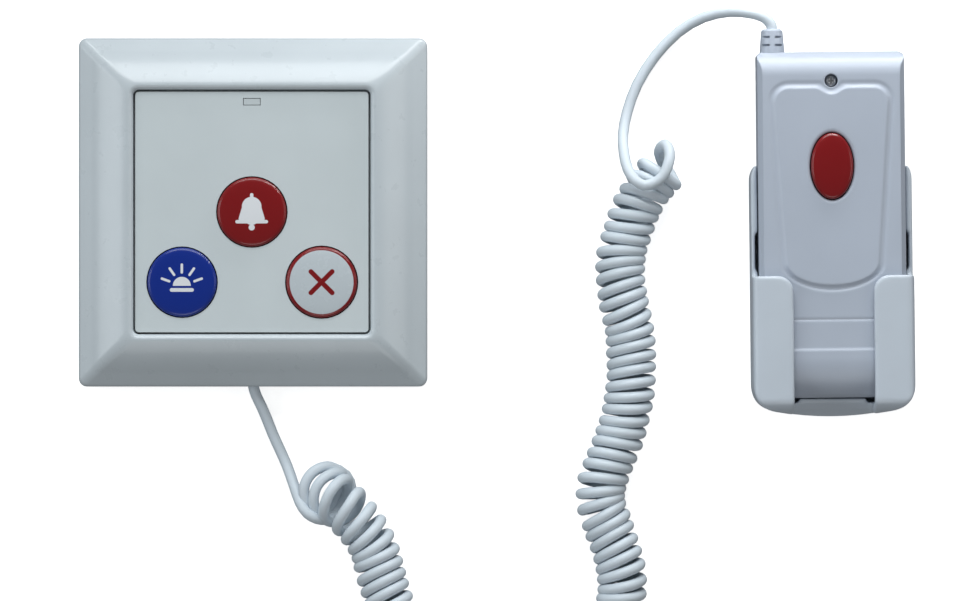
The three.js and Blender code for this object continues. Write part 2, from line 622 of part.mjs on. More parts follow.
// The raised pad's outline, drawn in by the width of its sloped edge
function padOutline(inset) {
  const topHalf = PAD_TOP_HALF - inset;
  const footHalf = PAD_FOOT_HALF - inset;
  const top = PAD_TOP - inset;
  const dip = PAD_DIP + inset;
  const tip = PAD_TIP + inset;
  const shape = new THREE.Shape();
  shape.moveTo(0, tip);
  shape.bezierCurveTo(
    footHalf * 0.6, tip, footHalf * 0.97, tip + 1.6, footHalf, PAD_FOOT);
  shape.lineTo(topHalf, PAD_SHOULDER);
  shape.bezierCurveTo(topHalf, top - 1.4, topHalf - 1.6, top - 0.3, topHalf - 5, top - 0.1);
  shape.lineTo(dip + 0.8, top);
  shape.quadraticCurveTo(dip, top - 0.1, dip * 0.8, top - 0.7);
  shape.quadraticCurveTo(0, top - 2.4, -dip * 0.8, top - 0.7);
  shape.quadraticCurveTo(-dip, top - 0.1, -dip - 0.8, top);
  shape.lineTo(-topHalf + 5, top - 0.1);
  shape.bezierCurveTo(-topHalf + 1.6, top - 0.3, -topHalf, top - 1.4, -topHalf, PAD_SHOULDER);
  shape.lineTo(-footHalf, PAD_FOOT);
  shape.bezierCurveTo(-footHalf * 0.97, tip + 1.6, -footHalf * 0.6, tip, 0, tip);
  return shape;
}

const ellipse = (width, length) =>
  new THREE.Shape().absellipse(0, 0, width / 2, length / 2, 0, Math.PI * 2);

function bootSocket() {
  const bore = (radius, from, to) => alongY(circle(radius, 20), from, to)
    .translate([BOOT_X, 0, PARTING]);
  return join(
    bore(BOOT_BASE_RADIUS + FIT, END - BOOT_SOCKET - FIT, END + 1),
    bore(BOOT_NECK + FIT, END - HANDSET_WALL * 2, END));
}

function handsetFrontShell() {
  const half = HANDSET_WIDTH;
  const keep = block(-half, half, -END - 1, END + 1, PARTING + FIT / 2, FACE + 2);
  const steps = [0, 0.5, 1].map((share) => upright(
    padOutline(PAD_SLOPE * share), FACE - HANDSET_WALL / 2, FACE + PAD_HEIGHT * (0.3 + 0.35 * share),
    5));
  const stepBand = overlap(
    handsetBlock(0).translate([0, 0, STEP_HEIGHT]),
    block(-half, half, -END - 1, STEP_Y, PARTING, FACE + 2),
    handsetBlock(0).scale([1, 1, 1.1]));
  const groove = block(-half, half, GROOVE_Y - GROOVE_HALF, GROOVE_Y + GROOVE_HALF,
    FACE - 0.25, FACE + 1);
  const boss = drum(0, HANDSET_SCREW_Y, PARTING + 1, FACE - HANDSET_WALL / 2, HANDSET_BOSS, 20);
  const sink = drum(0, HANDSET_SCREW_Y, FACE - HANDSET_SCREW_DEPTH - 1 - SEAT, FACE + 1,
    HANDSET_SCREW_RADIUS + FIT, 20);
  const shank = drum(0, HANDSET_SCREW_Y, PARTING, FACE, 0.9 + FIT, 12);
  const ovalHole = upright(
    ellipse(OVAL_WIDTH + 2 * FIT, OVAL_LENGTH + 2 * FIT), PARTING, FACE + 2, 10)
    .translate([0, OVAL_Y, 0]);
  const hollow = cut(handsetBlock(HANDSET_WALL),
    drum(0, HANDSET_SCREW_Y, PARTING + 1, FACE, HANDSET_BOSS, 20));
  const shell = cut(join(handsetBlock(0), stepBand, ...steps), hollow, groove, bootSocket());
  return cut(overlap(shell, keep), sink, shank, ovalHole);
}

function handsetRearShell() {
  const half = HANDSET_WIDTH;
  const keep = block(-half, half, -END - 1, END + 1, HANDSET_BACK - 1, PARTING - FIT / 2);
  const floor = HANDSET_BACK + HANDSET_WALL / 2;
  const boss = drum(0, HANDSET_SCREW_Y, floor, PARTING + 0.6, HANDSET_BOSS, 20);
  const thread = drum(0, HANDSET_SCREW_Y, HANDSET_BACK + 1.2, FACE, 0.9 + SEAT, 12);
  const ribs = [-1, 1].map((side) => block(
    side * HANDSET_BOARD_WIDTH / 3 - HANDSET_RIB_HALF, side * HANDSET_BOARD_WIDTH / 3 + HANDSET_RIB_HALF,
    HANDSET_BOARD_Y - HANDSET_BOARD_LENGTH / 2 + 2, HANDSET_BOARD_Y + HANDSET_BOARD_LENGTH / 2 - 2,
    floor, HANDSET_BOARD_BOTTOM - SEAT));
  const shell = overlap(cut(handsetBlock(0), handsetBlock(HANDSET_WALL), bootSocket()), keep);
  return cut(join(shell, boss, ...ribs), thread);
}

const HANDSET_ON_BOARD = HANDSET_BOARD_BOTTOM + BOARD_THICKNESS + SEAT;
const OVAL_STEM_FOOT = HANDSET_ON_BOARD + SWITCH_BODY + PLUNGER_HEIGHT + FIT + OVAL_TRAVEL;

function ovalButton() {
  const round = pushButton({
    radius: OVAL_LENGTH / 2,
    proud: OVAL_PROUD + PAD_HEIGHT,
    face: FACE,
    underside: FACE - HANDSET_WALL,
    stemFoot: OVAL_STEM_FOOT,
  });
  return round.scale([OVAL_WIDTH / OVAL_LENGTH, 1, 1]);
}

const handsetBoard = () => upright(
  roundedRectangle(HANDSET_BOARD_WIDTH, HANDSET_BOARD_LENGTH, 1, 0, HANDSET_BOARD_Y),
  HANDSET_BOARD_BOTTOM, HANDSET_BOARD_BOTTOM + BOARD_THICKNESS, 2);

function handsetScrew() {
  const head = FACE - HANDSET_SCREW_DEPTH;
  const body = turned([
    [0, HANDSET_BACK + 1.6],
    [0.9, HANDSET_BACK + 2.2],
    [0.9, head - 1],
    [HANDSET_SCREW_RADIUS, head - 1],
    [HANDSET_SCREW_RADIUS, head - 0.3],
    [HANDSET_SCREW_RADIUS * 0.6, head],
    [0, head],
  ], 16);
  const arm = HANDSET_SCREW_RADIUS * 0.55;
  const cross = join(
    block(-arm, arm, -0.22, 0.22, head - 0.5, head + 1),
    block(-0.22, 0.22, -arm, arm, head - 0.5, head + 1));
  return cut(body, cross);
}

// Cord boot: a tapered sleeve with two rows of slits, a neck and an anchor inside the handset
function cordBoot() {
  const start = END - BOOT_SOCKET;
  const neckFoot = END - HANDSET_WALL * 2 - FIT;
  const profile = [
    [0, neckFoot - 1],
    [BOOT_ANCHOR, neckFoot - 1],
    [BOOT_ANCHOR, neckFoot],
    [BOOT_NECK, neckFoot],
    [BOOT_NECK, start],
    [BOOT_BASE_RADIUS, start],
    [BOOT_BASE_RADIUS, start + 1.6],
    [BOOT_TIP_RADIUS, start + BOOT_LENGTH - 0.5],
    [BOOT_TIP_RADIUS - 0.5, start + BOOT_LENGTH],
    [0, start + BOOT_LENGTH],
  ];
  const sleeve = turned(profile, 20);
  const slits = [2.9, 4.9].flatMap((rise) => [-1, 1].map((side) => block(
    side * 1.55 - 0.9, side * 1.55 + 0.9, 1.5, BOOT_BASE_RADIUS + 1,
    start + rise - BOOT_SLIT / 2, start + rise + BOOT_SLIT / 2)));
  return solid(geometryOf(cut(sleeve, ...slits)).rotateX(-Math.PI / 2).rotateY(Math.PI))
    .translate([BOOT_X, 0, PARTING]);
}

const handsetClamp = () => block(
  BOOT_X - 1.6, BOOT_X + 4.4, END - 9.2, END - 6.6,
  HANDSET_BACK + HANDSET_WALL + SEAT, PARTING + CORD_RADIUS + 1.2);

// Holder: one moulding with a back plate, side wings, a foot and two front arms
function holder() {
  const half = HANDSET_WIDTH / 2 + FIT + HOLDER_WALL;
  const inner = HANDSET_WIDTH / 2 + FIT;
  const top = HOLDER_WING_TOP;
  const front = FACE + PAD_HEIGHT + FIT + HOLDER_ARM;
  const footInside = -END - HOLDER_FOOT_ROOM;
  const corner = HOLDER_FOOT_CORNER;
  const plan = new THREE.Shape();
  plan.moveTo(-half + HOLDER_WALL, top);
  plan.quadraticCurveTo(-half + 0.2, top - 1, -half, top - HOLDER_WING_SHOULDER);
  plan.lineTo(-half, HOLDER_FOOT_SIDE + corner);
  plan.quadraticCurveTo(-half + 0.4, HOLDER_FOOT_SIDE + 0.8, -half + corner, HOLDER_FOOT_SIDE);
  plan.quadraticCurveTo(0, 2 * HOLDER_FOOT_MIDDLE - HOLDER_FOOT_SIDE, half - corner, HOLDER_FOOT_SIDE);
  plan.quadraticCurveTo(half - 0.4, HOLDER_FOOT_SIDE + 0.8, half, HOLDER_FOOT_SIDE + corner);
  plan.lineTo(half, top - HOLDER_WING_SHOULDER);
  plan.quadraticCurveTo(half - 0.2, top - 1, half - HOLDER_WALL, top);
  plan.closePath();
  const side = new THREE.Shape();
  side.moveTo(HOLDER_FOOT_MIDDLE - 0.5, 0);
  side.bezierCurveTo(
    HOLDER_FOOT_MIDDLE, front * 0.55, HOLDER_FOOT_MIDDLE + HOLDER_FOOT_ROLL * 0.3, front * 0.98,
    HOLDER_FOOT_MIDDLE + HOLDER_FOOT_ROLL, front);
  side.lineTo(HOLDER_ARM_TOP, front);
  side.lineTo(HOLDER_ARM_TOP, HOLDER_WING_HEIGHT);
  side.lineTo(top + 1, HOLDER_WING_HEIGHT);
  side.lineTo(top + 1, 0);
  side.closePath();
  const round = 1.6;
  const section = new THREE.Shape();
  section.moveTo(-half, 0);
  section.lineTo(half, 0);
  section.absarc(half - round, front - round, round, 0, Math.PI / 2);
  section.absarc(-half + round, front - round, round, Math.PI / 2, Math.PI);
  section.closePath();
  const outside = overlap(
    upright(plan, 0, front, 8),
    alongX(side, -half - 1, half + 1, 8),
    alongY(section, HOLDER_FOOT_MIDDLE - 1, top + 1, 4));
  const pocketPlan = new THREE.Shape();
  const pocketCorner = HANDSET_FOOT_CORNER;
  pocketPlan.absarc(-inner + pocketCorner, footInside + pocketCorner, pocketCorner, Math.PI,
    Math.PI * 1.5);
  pocketPlan.absarc(inner - pocketCorner, footInside + pocketCorner, pocketCorner, -Math.PI / 2, 0);
  pocketPlan.lineTo(inner, top + 2);
  pocketPlan.lineTo(-inner, top + 2);
  pocketPlan.closePath();
  const pocketSide = new THREE.Shape();
  pocketSide.moveTo(footInside - 1, HOLDER_FLOOR);
  pocketSide.lineTo(footInside - 1, FACE - HANDSET_END_ROUND / 2);
  pocketSide.quadraticCurveTo(footInside, front - HOLDER_ARM, -END + HANDSET_END_ROUND,
    front - HOLDER_ARM);
  pocketSide.lineTo(top + 2, front - HOLDER_ARM);
  pocketSide.lineTo(top + 2, HOLDER_FLOOR);
  pocketSide.closePath();
  const pocket = overlap(
    upright(pocketPlan, HOLDER_FLOOR, front - HOLDER_ARM, 5),
    alongX(pocketSide, -half, half, 6));
  const windowHalf = HOLDER_WINDOW / 2;
  const armCorner = HOLDER_ARM_CORNER;
  const windowPlan = new THREE.Shape();
  windowPlan.moveTo(-windowHalf, HOLDER_FOOT_MIDDLE - 2);
  windowPlan.lineTo(windowHalf, HOLDER_FOOT_MIDDLE - 2);
  windowPlan.lineTo(windowHalf, HOLDER_ARM_TOP - armCorner);
  windowPlan.quadraticCurveTo(windowHalf + 0.2, HOLDER_ARM_TOP - 0.2, windowHalf + armCorner,
    HOLDER_ARM_TOP + 0.01);
  windowPlan.lineTo(windowHalf + armCorner, HOLDER_ARM_TOP + 1);
  windowPlan.lineTo(-windowHalf - armCorner, HOLDER_ARM_TOP + 1);
  windowPlan.lineTo(-windowHalf - armCorner, HOLDER_ARM_TOP + 0.01);
  windowPlan.quadraticCurveTo(-windowHalf - 0.2, HOLDER_ARM_TOP - 0.2, -windowHalf,
    HOLDER_ARM_TOP - armCorner);
  windowPlan.closePath();
  const window = upright(windowPlan, HOLDER_RIM_HEIGHT, front + 1, 5);
  const slots = [-1, 1].map((sign) => {
    const x = [sign * (inner - 1), sign * (inner + HOLDER_SLOT_DEPTH)].sort((a, b) => a - b);
    return block(x[0], x[1], HOLDER_SLOT_FOOT, HOLDER_SLOT_TOP, HOLDER_FLOOR, front);
  });
  const screwHoles = [HOLDER_SCREW_UPPER, HOLDER_SCREW_LOWER].flatMap((y) => [
    drum(0, y, -1, HOLDER_FLOOR + 1, HOLDER_SCREW_RADIUS, 20),
    drum(0, y, HOLDER_FLOOR * 0.6, HOLDER_FLOOR + 1, HOLDER_SCREW_SINK, 20)]);
  return cut(outside, pocket, window, ...slots, ...screwHoles);
}

// Cord route: a tail from the station, the curly part's middle line and a tail to the handset
const stationTail = [
  [0, BUSHING_FACE - FIT, CORD_HEIGHT],
  [0, -43, 4.1],
  [0.7, -45.3, 3.6],
  [1.9, -47.9, 2.7],
  [3.2, -51, 1.95],
  [4.6, -54.6, 1.5],
  [7.1, -61.4, 1.5],
  [9.2, -65, 2.7],
  [11.4, -66, 4.7],
  [13.7, -67.1, 6],
  [16, -68.3, 6.25],
];
const coilAxis = [
  [16.4, -68.6, 6.25],
  [20.4, -70.9, 6.25],
  [25.8, -76.3, 6.25],
  [29.7, -82.6, 6.25],
  [31.4, -88.8, 6.25],
  [33.1, -94.6, 6.25],
  [35.2, -101.6, 6.25],
  [39, -109.5, 6.25],
  [45, -116.6, 6.25],
  [52.8, -121.2, 6.25],
  [61.8, -122.6, 6.25],
  [70.9, -121.1, 6.25],
  [78.9, -116.7, 6.25],
  [85.2, -109.6, 6.25],
  [89.2, -101.4, 6.25],
  [91, -94.9, 6.25],
  [91, -89.1, 6.25],
  [89.8, -83.7, 6.25],
  [87.7, -77.4, 6.25],
  [85.9, -71.8, 6.25],
  [86.1, -67.1, 6.25],
  [87.9, -61.9, 6.25],
  [90.4, -55.7, 6.25],
  [92.4, -48.3, 6.25],
  [93.3, -41.9, 6.25],
  [93.4, -35.5, 6.25],
  [92.9, -28.5, 6.25],
  [91.5, -22.1, 6.25],
  [90.7, -15.4, 6.25],
  [91, -9.8, 6.25],
  [92.6, -4.6, 6.25],
  [94.5, 0.9, 6.25],
  [96.1, 3.8, 6.25],
  [98.2, 7.2, 6.25],
  [100.4, 9.4, 6.25],
];
const handsetTail = [
  [100.7, 9.7, 6.25],
  [101.9, 11, 6.6],
  [103.4, 13.2, 8.4],
  [104.2, 13.6, 11],
  [103.9, 11.9, 13.4],
  [102.2, 9.4, 14.2],
  [99.6, 7.2, 14.4],
  [96.5, 6.3, 14.4],
  [93.8, 7.9, 14.1],
  [92.1, 11.3, 11.6],
  [91.5, 15.4, 7.6],
  [91.4, 19.2, 4.5],
  [92.5, 25, 2.1],
  [95, 31.8, 1.5],
  [99.4, 38.8, 1.5],
  [105.1, 44.7, 1.9],
  [111.3, 48.3, 3.6],
  [117.8, 49.6, 6],
  [123, 49.1, 8],
  [126.2, 48, 8.6],
  [127.7, 46.5, 8.6],
];

function bootMouth() {
  const turn = THREE.MathUtils.degToRad(HANDSET_TURN);
  const y = END - BOOT_SOCKET + BOOT_LENGTH + 2 * FIT;
  return [
    HANDSET_X + BOOT_X * Math.cos(turn) - y * Math.sin(turn),
    HANDSET_Y + BOOT_X * Math.sin(turn) + y * Math.cos(turn),
    PARTING];
}

// One length of the curly part, as the fat rod that its turns fill
function coilPiece(index) {
  const axis = curveThrough(coilAxis);
  const length = axis.getLength();
  const share = length / COIL_PIECES;
  const from = index * share + (index > 0 ? FIT / 2 : 0);
  const to = (index + 1) * share - (index < COIL_PIECES - 1 ? FIT / 2 : 0);
  return rod(new CurveStretch(axis, from / length, to / length), COIL_RADIUS, COIL_SIDES, COIL_STEP);
}

place(station, 'outer_frame', outerFrame(), WHITE_GLOSS);
place(station, 'face_panel', facePanel(), WHITE_PANEL);
place(station, 'rear_cover', rearCover(), WHITE_SATIN);
postPlaces.forEach(([x, y], i) => place(station, `rear_screw_${i + 1}`, rearScrew(), STEEL, x, y));

const stationButton = (radius) => pushButton({
  radius, proud: BUTTON_PROUD, face: PANEL_FACE, underside: PANEL_UNDERSIDE, stemFoot: STEM_FOOT,
});
place(station, 'call_button', stationButton(BUTTON_RADIUS), RED_GLOSS, ...buttonPlaces.call);
place(station, 'emergency_button', stationButton(BUTTON_RADIUS), BLUE_GLOSS,
  ...buttonPlaces.emergency);
place(station, 'cancel_button', stationButton(CANCEL_RADIUS), WHITE_GLOSS, ...buttonPlaces.cancel);
Object.entries(buttonPlaces).forEach(([name, [x, y]]) =>
  place(station, `${name}_switch`, tactSwitch(ON_BOARD), BLACK_BODY, x, y));

place(station, 'circuit_board', circuitBoard(), BOARD_GREEN);
place(station, 'encoder_chip', chip(), BLACK_BODY, CHIP.x, CHIP.y);
place(station, 'oscillator', oscillator(), STEEL, OSCILLATOR.x, OSCILLATOR.y);
place(station, 'aerial_coil',
  rod(helixCurve(AERIAL.turns, AERIAL.radius, AERIAL.length), AERIAL.wire, 6, 1.4)
    .rotateZ(Math.PI / 2), COPPER,
  AERIAL.x, AERIAL.y - AERIAL.length, ON_BOARD + AERIAL.radius + AERIAL.wire + SEAT);
place(station, 'indicator_lamp', indicatorLamp(), LAMP_RED, 0, LIGHT_Y - 0.6);
place(station, 'light_window', lightPipe(), SMOKED_CLEAR, 0, LIGHT_Y);
place(station, 'battery', geometryOf(batteryCell()).rotateY(Math.PI / 2), BATTERY_SLEEVE,
  0, BATTERY_Y, BATTERY_AXIS);
place(station, 'battery_contact_positive', contactPlate(1), STEEL, BATTERY_LENGTH / 2 + FIT, BATTERY_Y);
place(station, 'battery_contact_negative', contactPlate(-1), STEEL, -CONTACT_X, BATTERY_Y);
place(station, 'battery_spring',
  rod(helixCurve(SPRING_TURNS, SPRING_RADIUS, SPRING_LENGTH - 2 * SPRING_WIRE - 4 * SEAT),
    SPRING_WIRE, 6, 1.6), STEEL,
  -CONTACT_X + CONTACT_THICKNESS / 2 + SPRING_WIRE + 2 * SEAT, BATTERY_Y, BATTERY_AXIS);
place(station, 'cord_bushing', cordBushing(), WHITE_SATIN, 0, BUSHING_FACE, CORD_HEIGHT);
place(station, 'cord_clamp', cordClamp(), WHITE_SATIN);

place(handset, 'handset_front_shell', handsetFrontShell(), WHITE_GLOSS);
place(handset, 'handset_rear_shell', handsetRearShell(), WHITE_GLOSS);
place(handset, 'handset_button', ovalButton(), RED_GLOSS, 0, OVAL_Y);
place(handset, 'handset_board', handsetBoard(), BOARD_GREEN);
place(handset, 'handset_switch', tactSwitch(HANDSET_ON_BOARD), BLACK_BODY, 0, OVAL_Y);
place(handset, 'handset_screw', handsetScrew(), STEEL, 0, HANDSET_SCREW_Y);
place(handset, 'handset_cord_boot', cordBoot(), CORD_WHITE);
place(handset, 'handset_cord_clamp', handsetClamp(), WHITE_SATIN);
place(handset, 'handset_holder', holder(), WHITE_GLOSS);

place(cord, 'cord_station_tail', rod(curveThrough(stationTail), CORD_RADIUS, CORD_SIDES, CORD_STEP / 2),
  CORD_WHITE);
for (let index = 0; index < COIL_PIECES; index += 1) {
  place(cord, `cord_curl_${index + 1}`, coilPiece(index), CORD_WHITE);
}
place(cord, 'cord_handset_tail',
  rod(curveThrough([...handsetTail, bootMouth()]), CORD_RADIUS, CORD_SIDES, CORD_STEP / 2), CORD_WHITE);

export default callSet;
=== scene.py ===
"""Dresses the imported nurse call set: wall station, curly cord, handset and holder.

Shapes are worked out in millimetres and turned into metres when a piece is finished.
"""

import bisect
import math

import bmesh
import bpy
from mathutils import Matrix, Vector


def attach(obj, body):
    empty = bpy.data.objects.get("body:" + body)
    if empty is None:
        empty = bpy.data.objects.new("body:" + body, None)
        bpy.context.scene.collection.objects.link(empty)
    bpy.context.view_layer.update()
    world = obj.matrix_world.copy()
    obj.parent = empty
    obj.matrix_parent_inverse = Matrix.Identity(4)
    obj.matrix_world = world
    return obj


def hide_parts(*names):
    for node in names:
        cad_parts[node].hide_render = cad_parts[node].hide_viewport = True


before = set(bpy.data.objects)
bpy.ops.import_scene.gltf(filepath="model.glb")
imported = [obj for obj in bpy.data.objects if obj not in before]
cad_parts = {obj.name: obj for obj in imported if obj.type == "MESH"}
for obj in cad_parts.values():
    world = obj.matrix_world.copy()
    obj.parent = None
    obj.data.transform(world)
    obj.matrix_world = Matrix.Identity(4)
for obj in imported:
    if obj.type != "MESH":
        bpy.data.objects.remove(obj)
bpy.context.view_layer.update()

MM = 0.001
SET = "call_set"

# Station, in millimetres, as in the CAD
STATION_SIDE = 86
STATION_CORNER = 2
FRAME_LIFT = 1
FRAME_EDGE_TOP = 6.9
FRAME_EDGE_ROUND = 1.5
FRAME_CREST = 15.4
FRAME_WALL = 1.8
FRAME_INNER_ROUND = 1.3
LIP_WALL = 1.2
LIP_FOOT = 11.2
PANEL_WIDTH = 57.3
PANEL_HEIGHT = 59.1
PANEL_CORNER = 0.9
PANEL_GAP = 0.5
PANEL_FACE = 14.2
BUTTON_RADIUS = 8.5
CANCEL_RADIUS = 8.7
BUTTON_PROUD = 1.1
CROWN = 0.6
BUTTON_RIM = 0.55
BUTTON_FLANGE = 1.1
BUTTON_WALL = 1.3
FLANGE_TOP = 12.1
FLANGE_FOOT = 11.3
STEM_RADIUS = 1.7
STEM_FOOT = 9.2
CALL_PLACE = (0, 0)
EMERGENCY_PLACE = (-17.15, -17.25)
CANCEL_PLACE = (17.15, -17.25)

# Handset, in its own millimetres: its middle is the origin and it lies turned a little
HANDSET_PLACE = (142.6, -3.1)
HANDSET_TURN = math.radians(0.6)
HANDSET_WIDTH = 36.1
HANDSET_LENGTH = 85.2
HANDSET_FACE = 16.3
HANDSET_END_ROUND = 6
HANDSET_FOOT_ROUND = 10
HANDSET_FOOT_DROP = 7.3
HANDSET_TOP_CORNER = 1.4
HANDSET_FOOT_CORNER = 4.4
CHAMFER_WIDTH = 1.2
CHAMFER_DROP = 1.7
SHELL_FOOT = 8.75
SHELL_WALL = 1.6
PAD_TOP = 34.2
PAD_SHOULDER = 29.3
PAD_TOP_HALF = 14.4
PAD_FOOT_HALF = 11.8
PAD_FOOT = -9.2
PAD_TIP = -15.4
PAD_HEIGHT = 0.45
PAD_SLOPE = 0.85
PAD_CORNER = 4.4
PAD_DIP = 2.65
PAD_DIP_BLEND = 1.3
GROOVE_Y = -23.3
GROOVE_DEPTH = 0.2
STEP_Y = -30.2
STEP_HEIGHT = 0.3
OVAL_Y = 14.35
OVAL_LENGTH = 16.2
OVAL_WIDTH = 10.4
OVAL_PROUD = 1.4
OVAL_RIM = 0.7
OVAL_SHOULDER = 0.4
OVAL_FLANGE = 0.9
OVAL_FOOT = 12.6
OVAL_CLEARANCE = 0.25
SCREW_Y = 35.3
SCREW_RADIUS = 1.5
SCREW_HEAD_TOP = 14.9
SCREW_HEAD = 1
SCREW_DOME = 0.35
SCREW_SHANK = 0.9
SCREW_FOOT = 3.9
CROSS_HALF = (1.1, 0.3)
CROSS_DEPTH = 0.75
BOOT_PLACE = (-14.1, 8.6)           # sideways and up, in the handset's end
HOLDER_WINDOW = 19.9
HOLDER_ARM_TOP = -12.6
HOLDER_ARM_ROUND = 3.7
HOLDER_SLOT_TOP = -1.7
HOLDER_SLOT_FOOT = -11.4
HOLDER_WING_FACE = 18.34             # inner face where a wing meets the handset
HOLDER_FULLER = 0.14
HOLDER_MESH = 0.38
# Sections of the holder's foot between the arms, as (along, up)
FOOT_SLOPE = ((-42.2, 9.4), (-43.6, 8.9), (-45.4, 6.6), (-47.6, 2.4), (-49.5, 2.4))
FOOT_LIP = ((-42.84, 2.2), (-42.84, 8.9), (-44.4, 7.6), (-44.4, 2.2))

# Cord, in millimetres
CORD_RADIUS = 1.35
TURN_RADIUS = 4.85
COIL_HEIGHT = 6.25
COIL_TURNS = 75
SKEW = 0.5                           # how far a turn's two sides are set off along the coil


# Materials

class Signal:
    """A value inside a material's node tree, with arithmetic."""

    def __init__(self, tree, socket=None):
        self.tree = tree
        self.socket = socket

    def node(self, kind, inputs=(), output=0, **settings):
        """Adds a node with its settings, then fills or links its sockets, and gives one output."""
        made = self.tree.nodes.new(kind)
        for key, value in settings.items():
            setattr(made, key, value)
        for key, value in dict(inputs).items():
            if isinstance(value, Signal):
                self.tree.links.new(value.socket, made.inputs[key])
            else:
                made.inputs[key].default_value = value
        return Signal(self.tree, made.outputs[output] if made.outputs else None)

    def math(self, operation, *others):
        return self.node("ShaderNodeMath", enumerate((self, *others)), operation=operation)

    def outlet(self, index):
        """Another output of the node that this value comes from."""
        return Signal(self.tree, self.socket.node.outputs[index])

    def __add__(self, other):
        return self.math("ADD", other)

    def __sub__(self, other):
        return self.math("SUBTRACT", other)

    def __rsub__(self, other):
        return self.node("ShaderNodeMath", {0: other, 1: self}, operation="SUBTRACT")

    def __mul__(self, other):
        return self.math("MULTIPLY", other)

    __radd__ = __add__
    __rmul__ = __mul__

    def __truediv__(self, other):
        return self.math("DIVIDE", other)

    def __rtruediv__(self, other):
        return self.node("ShaderNodeMath", {0: other, 1: self}, operation="DIVIDE")

    def mix(self, low, high):
        """A colour between low and high, by this value."""
        return self.node("ShaderNodeMix", {0: self, 6: low, 7: high}, output=2, data_type="RGBA")

    def soft_step(self, low, high):
        """0 below low, 1 above high."""
        return self.node("ShaderNodeMapRange", {0: self, 1: low, 2: high, 3: 0, 4: 1})


def linear(red, green, blue):
    """A node colour from 0 to 255 screen values."""
    shares = [value / 255 for value in (red, green, blue)]
    return (*[s / 12.92 if s <= 0.04045 else ((s + 0.055) / 1.055) ** 2.4 for s in shares], 1)


def shade(colour, factor):
    """A darker or lighter copy of a node colour."""
    return (*[channel * factor for channel in colour[:3]], 1)


def start_material(name):
    """An empty material with its canvas and its place in object coordinates."""
    material = bpy.data.materials.new(name)
    material.use_nodes = True
    tree = material.node_tree
    tree.nodes.clear()
    canvas = Signal(tree)
    place = canvas.node("ShaderNodeTexCoord", output=3)
    return material, canvas, place


def finish_material(material, canvas, **sockets):
    """Closes a material with a Principled shader."""
    names = {
        key.replace("_", " ").title().replace("Ior", "IOR"): value for key, value in sockets.items()
    }
    surface = canvas.node("ShaderNodeBsdfPrincipled", names)
    canvas.node("ShaderNodeOutputMaterial", {0: surface})
    return material


def noise(canvas, place, scale, detail=2.0, roughness=0.5):
    return canvas.node("ShaderNodeTexNoise", {
        "Vector": place, "Scale": scale, "Detail": detail, "Roughness": roughness})


def bump(canvas, height, strength, distance):
    return canvas.node("ShaderNodeBump", {
        "Strength": strength, "Distance": distance, "Height": height})


def plastic(name, colour, roughness=0.35, grain=0.25, sign=None, sign_colour=None, coat=0.0):
    """Moulded plastic: a fine grain, faint flow marks and a few dull patches from handling.

    sign is a function that gives a drawn sign's mask from the material's place.
    """
    material, canvas, place = start_material(name)
    flow = noise(canvas, place, 55, 3)
    patches = noise(canvas, place, 240, 4, 0.6)
    texture = noise(canvas, place, 5200, 2)
    base = flow.soft_step(0.3, 0.7).mix(shade(colour, 0.975), shade(colour, 1.02))
    if sign:
        base = sign(canvas, place).mix(base, sign_colour)
    gloss = patches.soft_step(0.35, 0.75) * 0.06 + (roughness - 0.03)
    return finish_material(
        material, canvas, base_color=base, roughness=gloss, ior=1.47, coat_weight=coat,
        coat_roughness=0.12, normal=bump(canvas, texture, grain, 0.00002))


def jacket(name, colour):
    """Cord jacket: a satin elastomer with fine drawn lines and slightly uneven tone."""
    material, canvas, place = start_material(name)
    tone = noise(canvas, place, 90, 3)
    drawn = noise(canvas, place, 2600, 3)
    base = tone.soft_step(0.3, 0.7).mix(shade(colour, 0.96), shade(colour, 1.03))
    gloss = drawn * 0.12 + 0.42
    return finish_material(
        material, canvas, base_color=base, roughness=gloss, ior=1.45,
        normal=bump(canvas, drawn, 0.25, 0.00003))


def metal(name, colour, roughness, streaks):
    """Plated metal with short rolling streaks."""
    material, canvas, place = start_material(name)
    stretched = canvas.node("ShaderNodeMapping", {"Vector": place, "Scale": streaks})
    lines = noise(canvas, stretched, 900, 4)
    base = lines.soft_step(0.3, 0.7).mix(shade(colour, 0.85), colour)
    return finish_material(
        material, canvas, base_color=base, metallic=1.0, roughness=lines * 0.15 + roughness,
        normal=bump(canvas, lines, 0.2, 0.00003))


def laminate(name):
    """Circuit board: green solder mask over a faint weave and copper runs."""
    material, canvas, place = start_material(name)
    across = canvas.node("ShaderNodeSeparateXYZ", {0: place})
    weave = (across * 9000).math("SINE") * (across.outlet(1) * 9000).math("SINE")
    runs = canvas.node("ShaderNodeTexVoronoi", {"Vector": place, "Scale": 260}, distance="MANHATTAN")
    line = (runs - 0.46).math("ABSOLUTE").soft_step(0.03, 0.05)
    base = line.mix(linear(66, 140, 82), linear(30, 96, 52))
    return finish_material(
        material, canvas, base_color=base, roughness=weave * 0.03 + 0.34,
        normal=bump(canvas, weave, 0.2, 0.00002))


def component(name, colour):
    """Matt moulded component body with a sandy grain."""
    material, canvas, place = start_material(name)
    sand = noise(canvas, place, 7000, 4)
    base = sand.soft_step(0.3, 0.7).mix(shade(colour, 0.8), shade(colour, 1.15))
    return finish_material(
        material, canvas, base_color=base, roughness=sand * 0.2 + 0.45,
        normal=bump(canvas, sand, 0.3, 0.00003))


def clear(name, colour):
    """Smoked clear plastic for the lamp."""
    material, canvas, place = start_material(name)
    haze = noise(canvas, place, 1500, 2)
    base = haze.soft_step(0.3, 0.7).mix(shade(colour, 0.92), colour)
    return finish_material(
        material, canvas, base_color=base, roughness=haze * 0.08 + 0.08, ior=1.49,
        transmission_weight=0.35)


# Signs drawn on the buttons, in millimetres from the button's middle

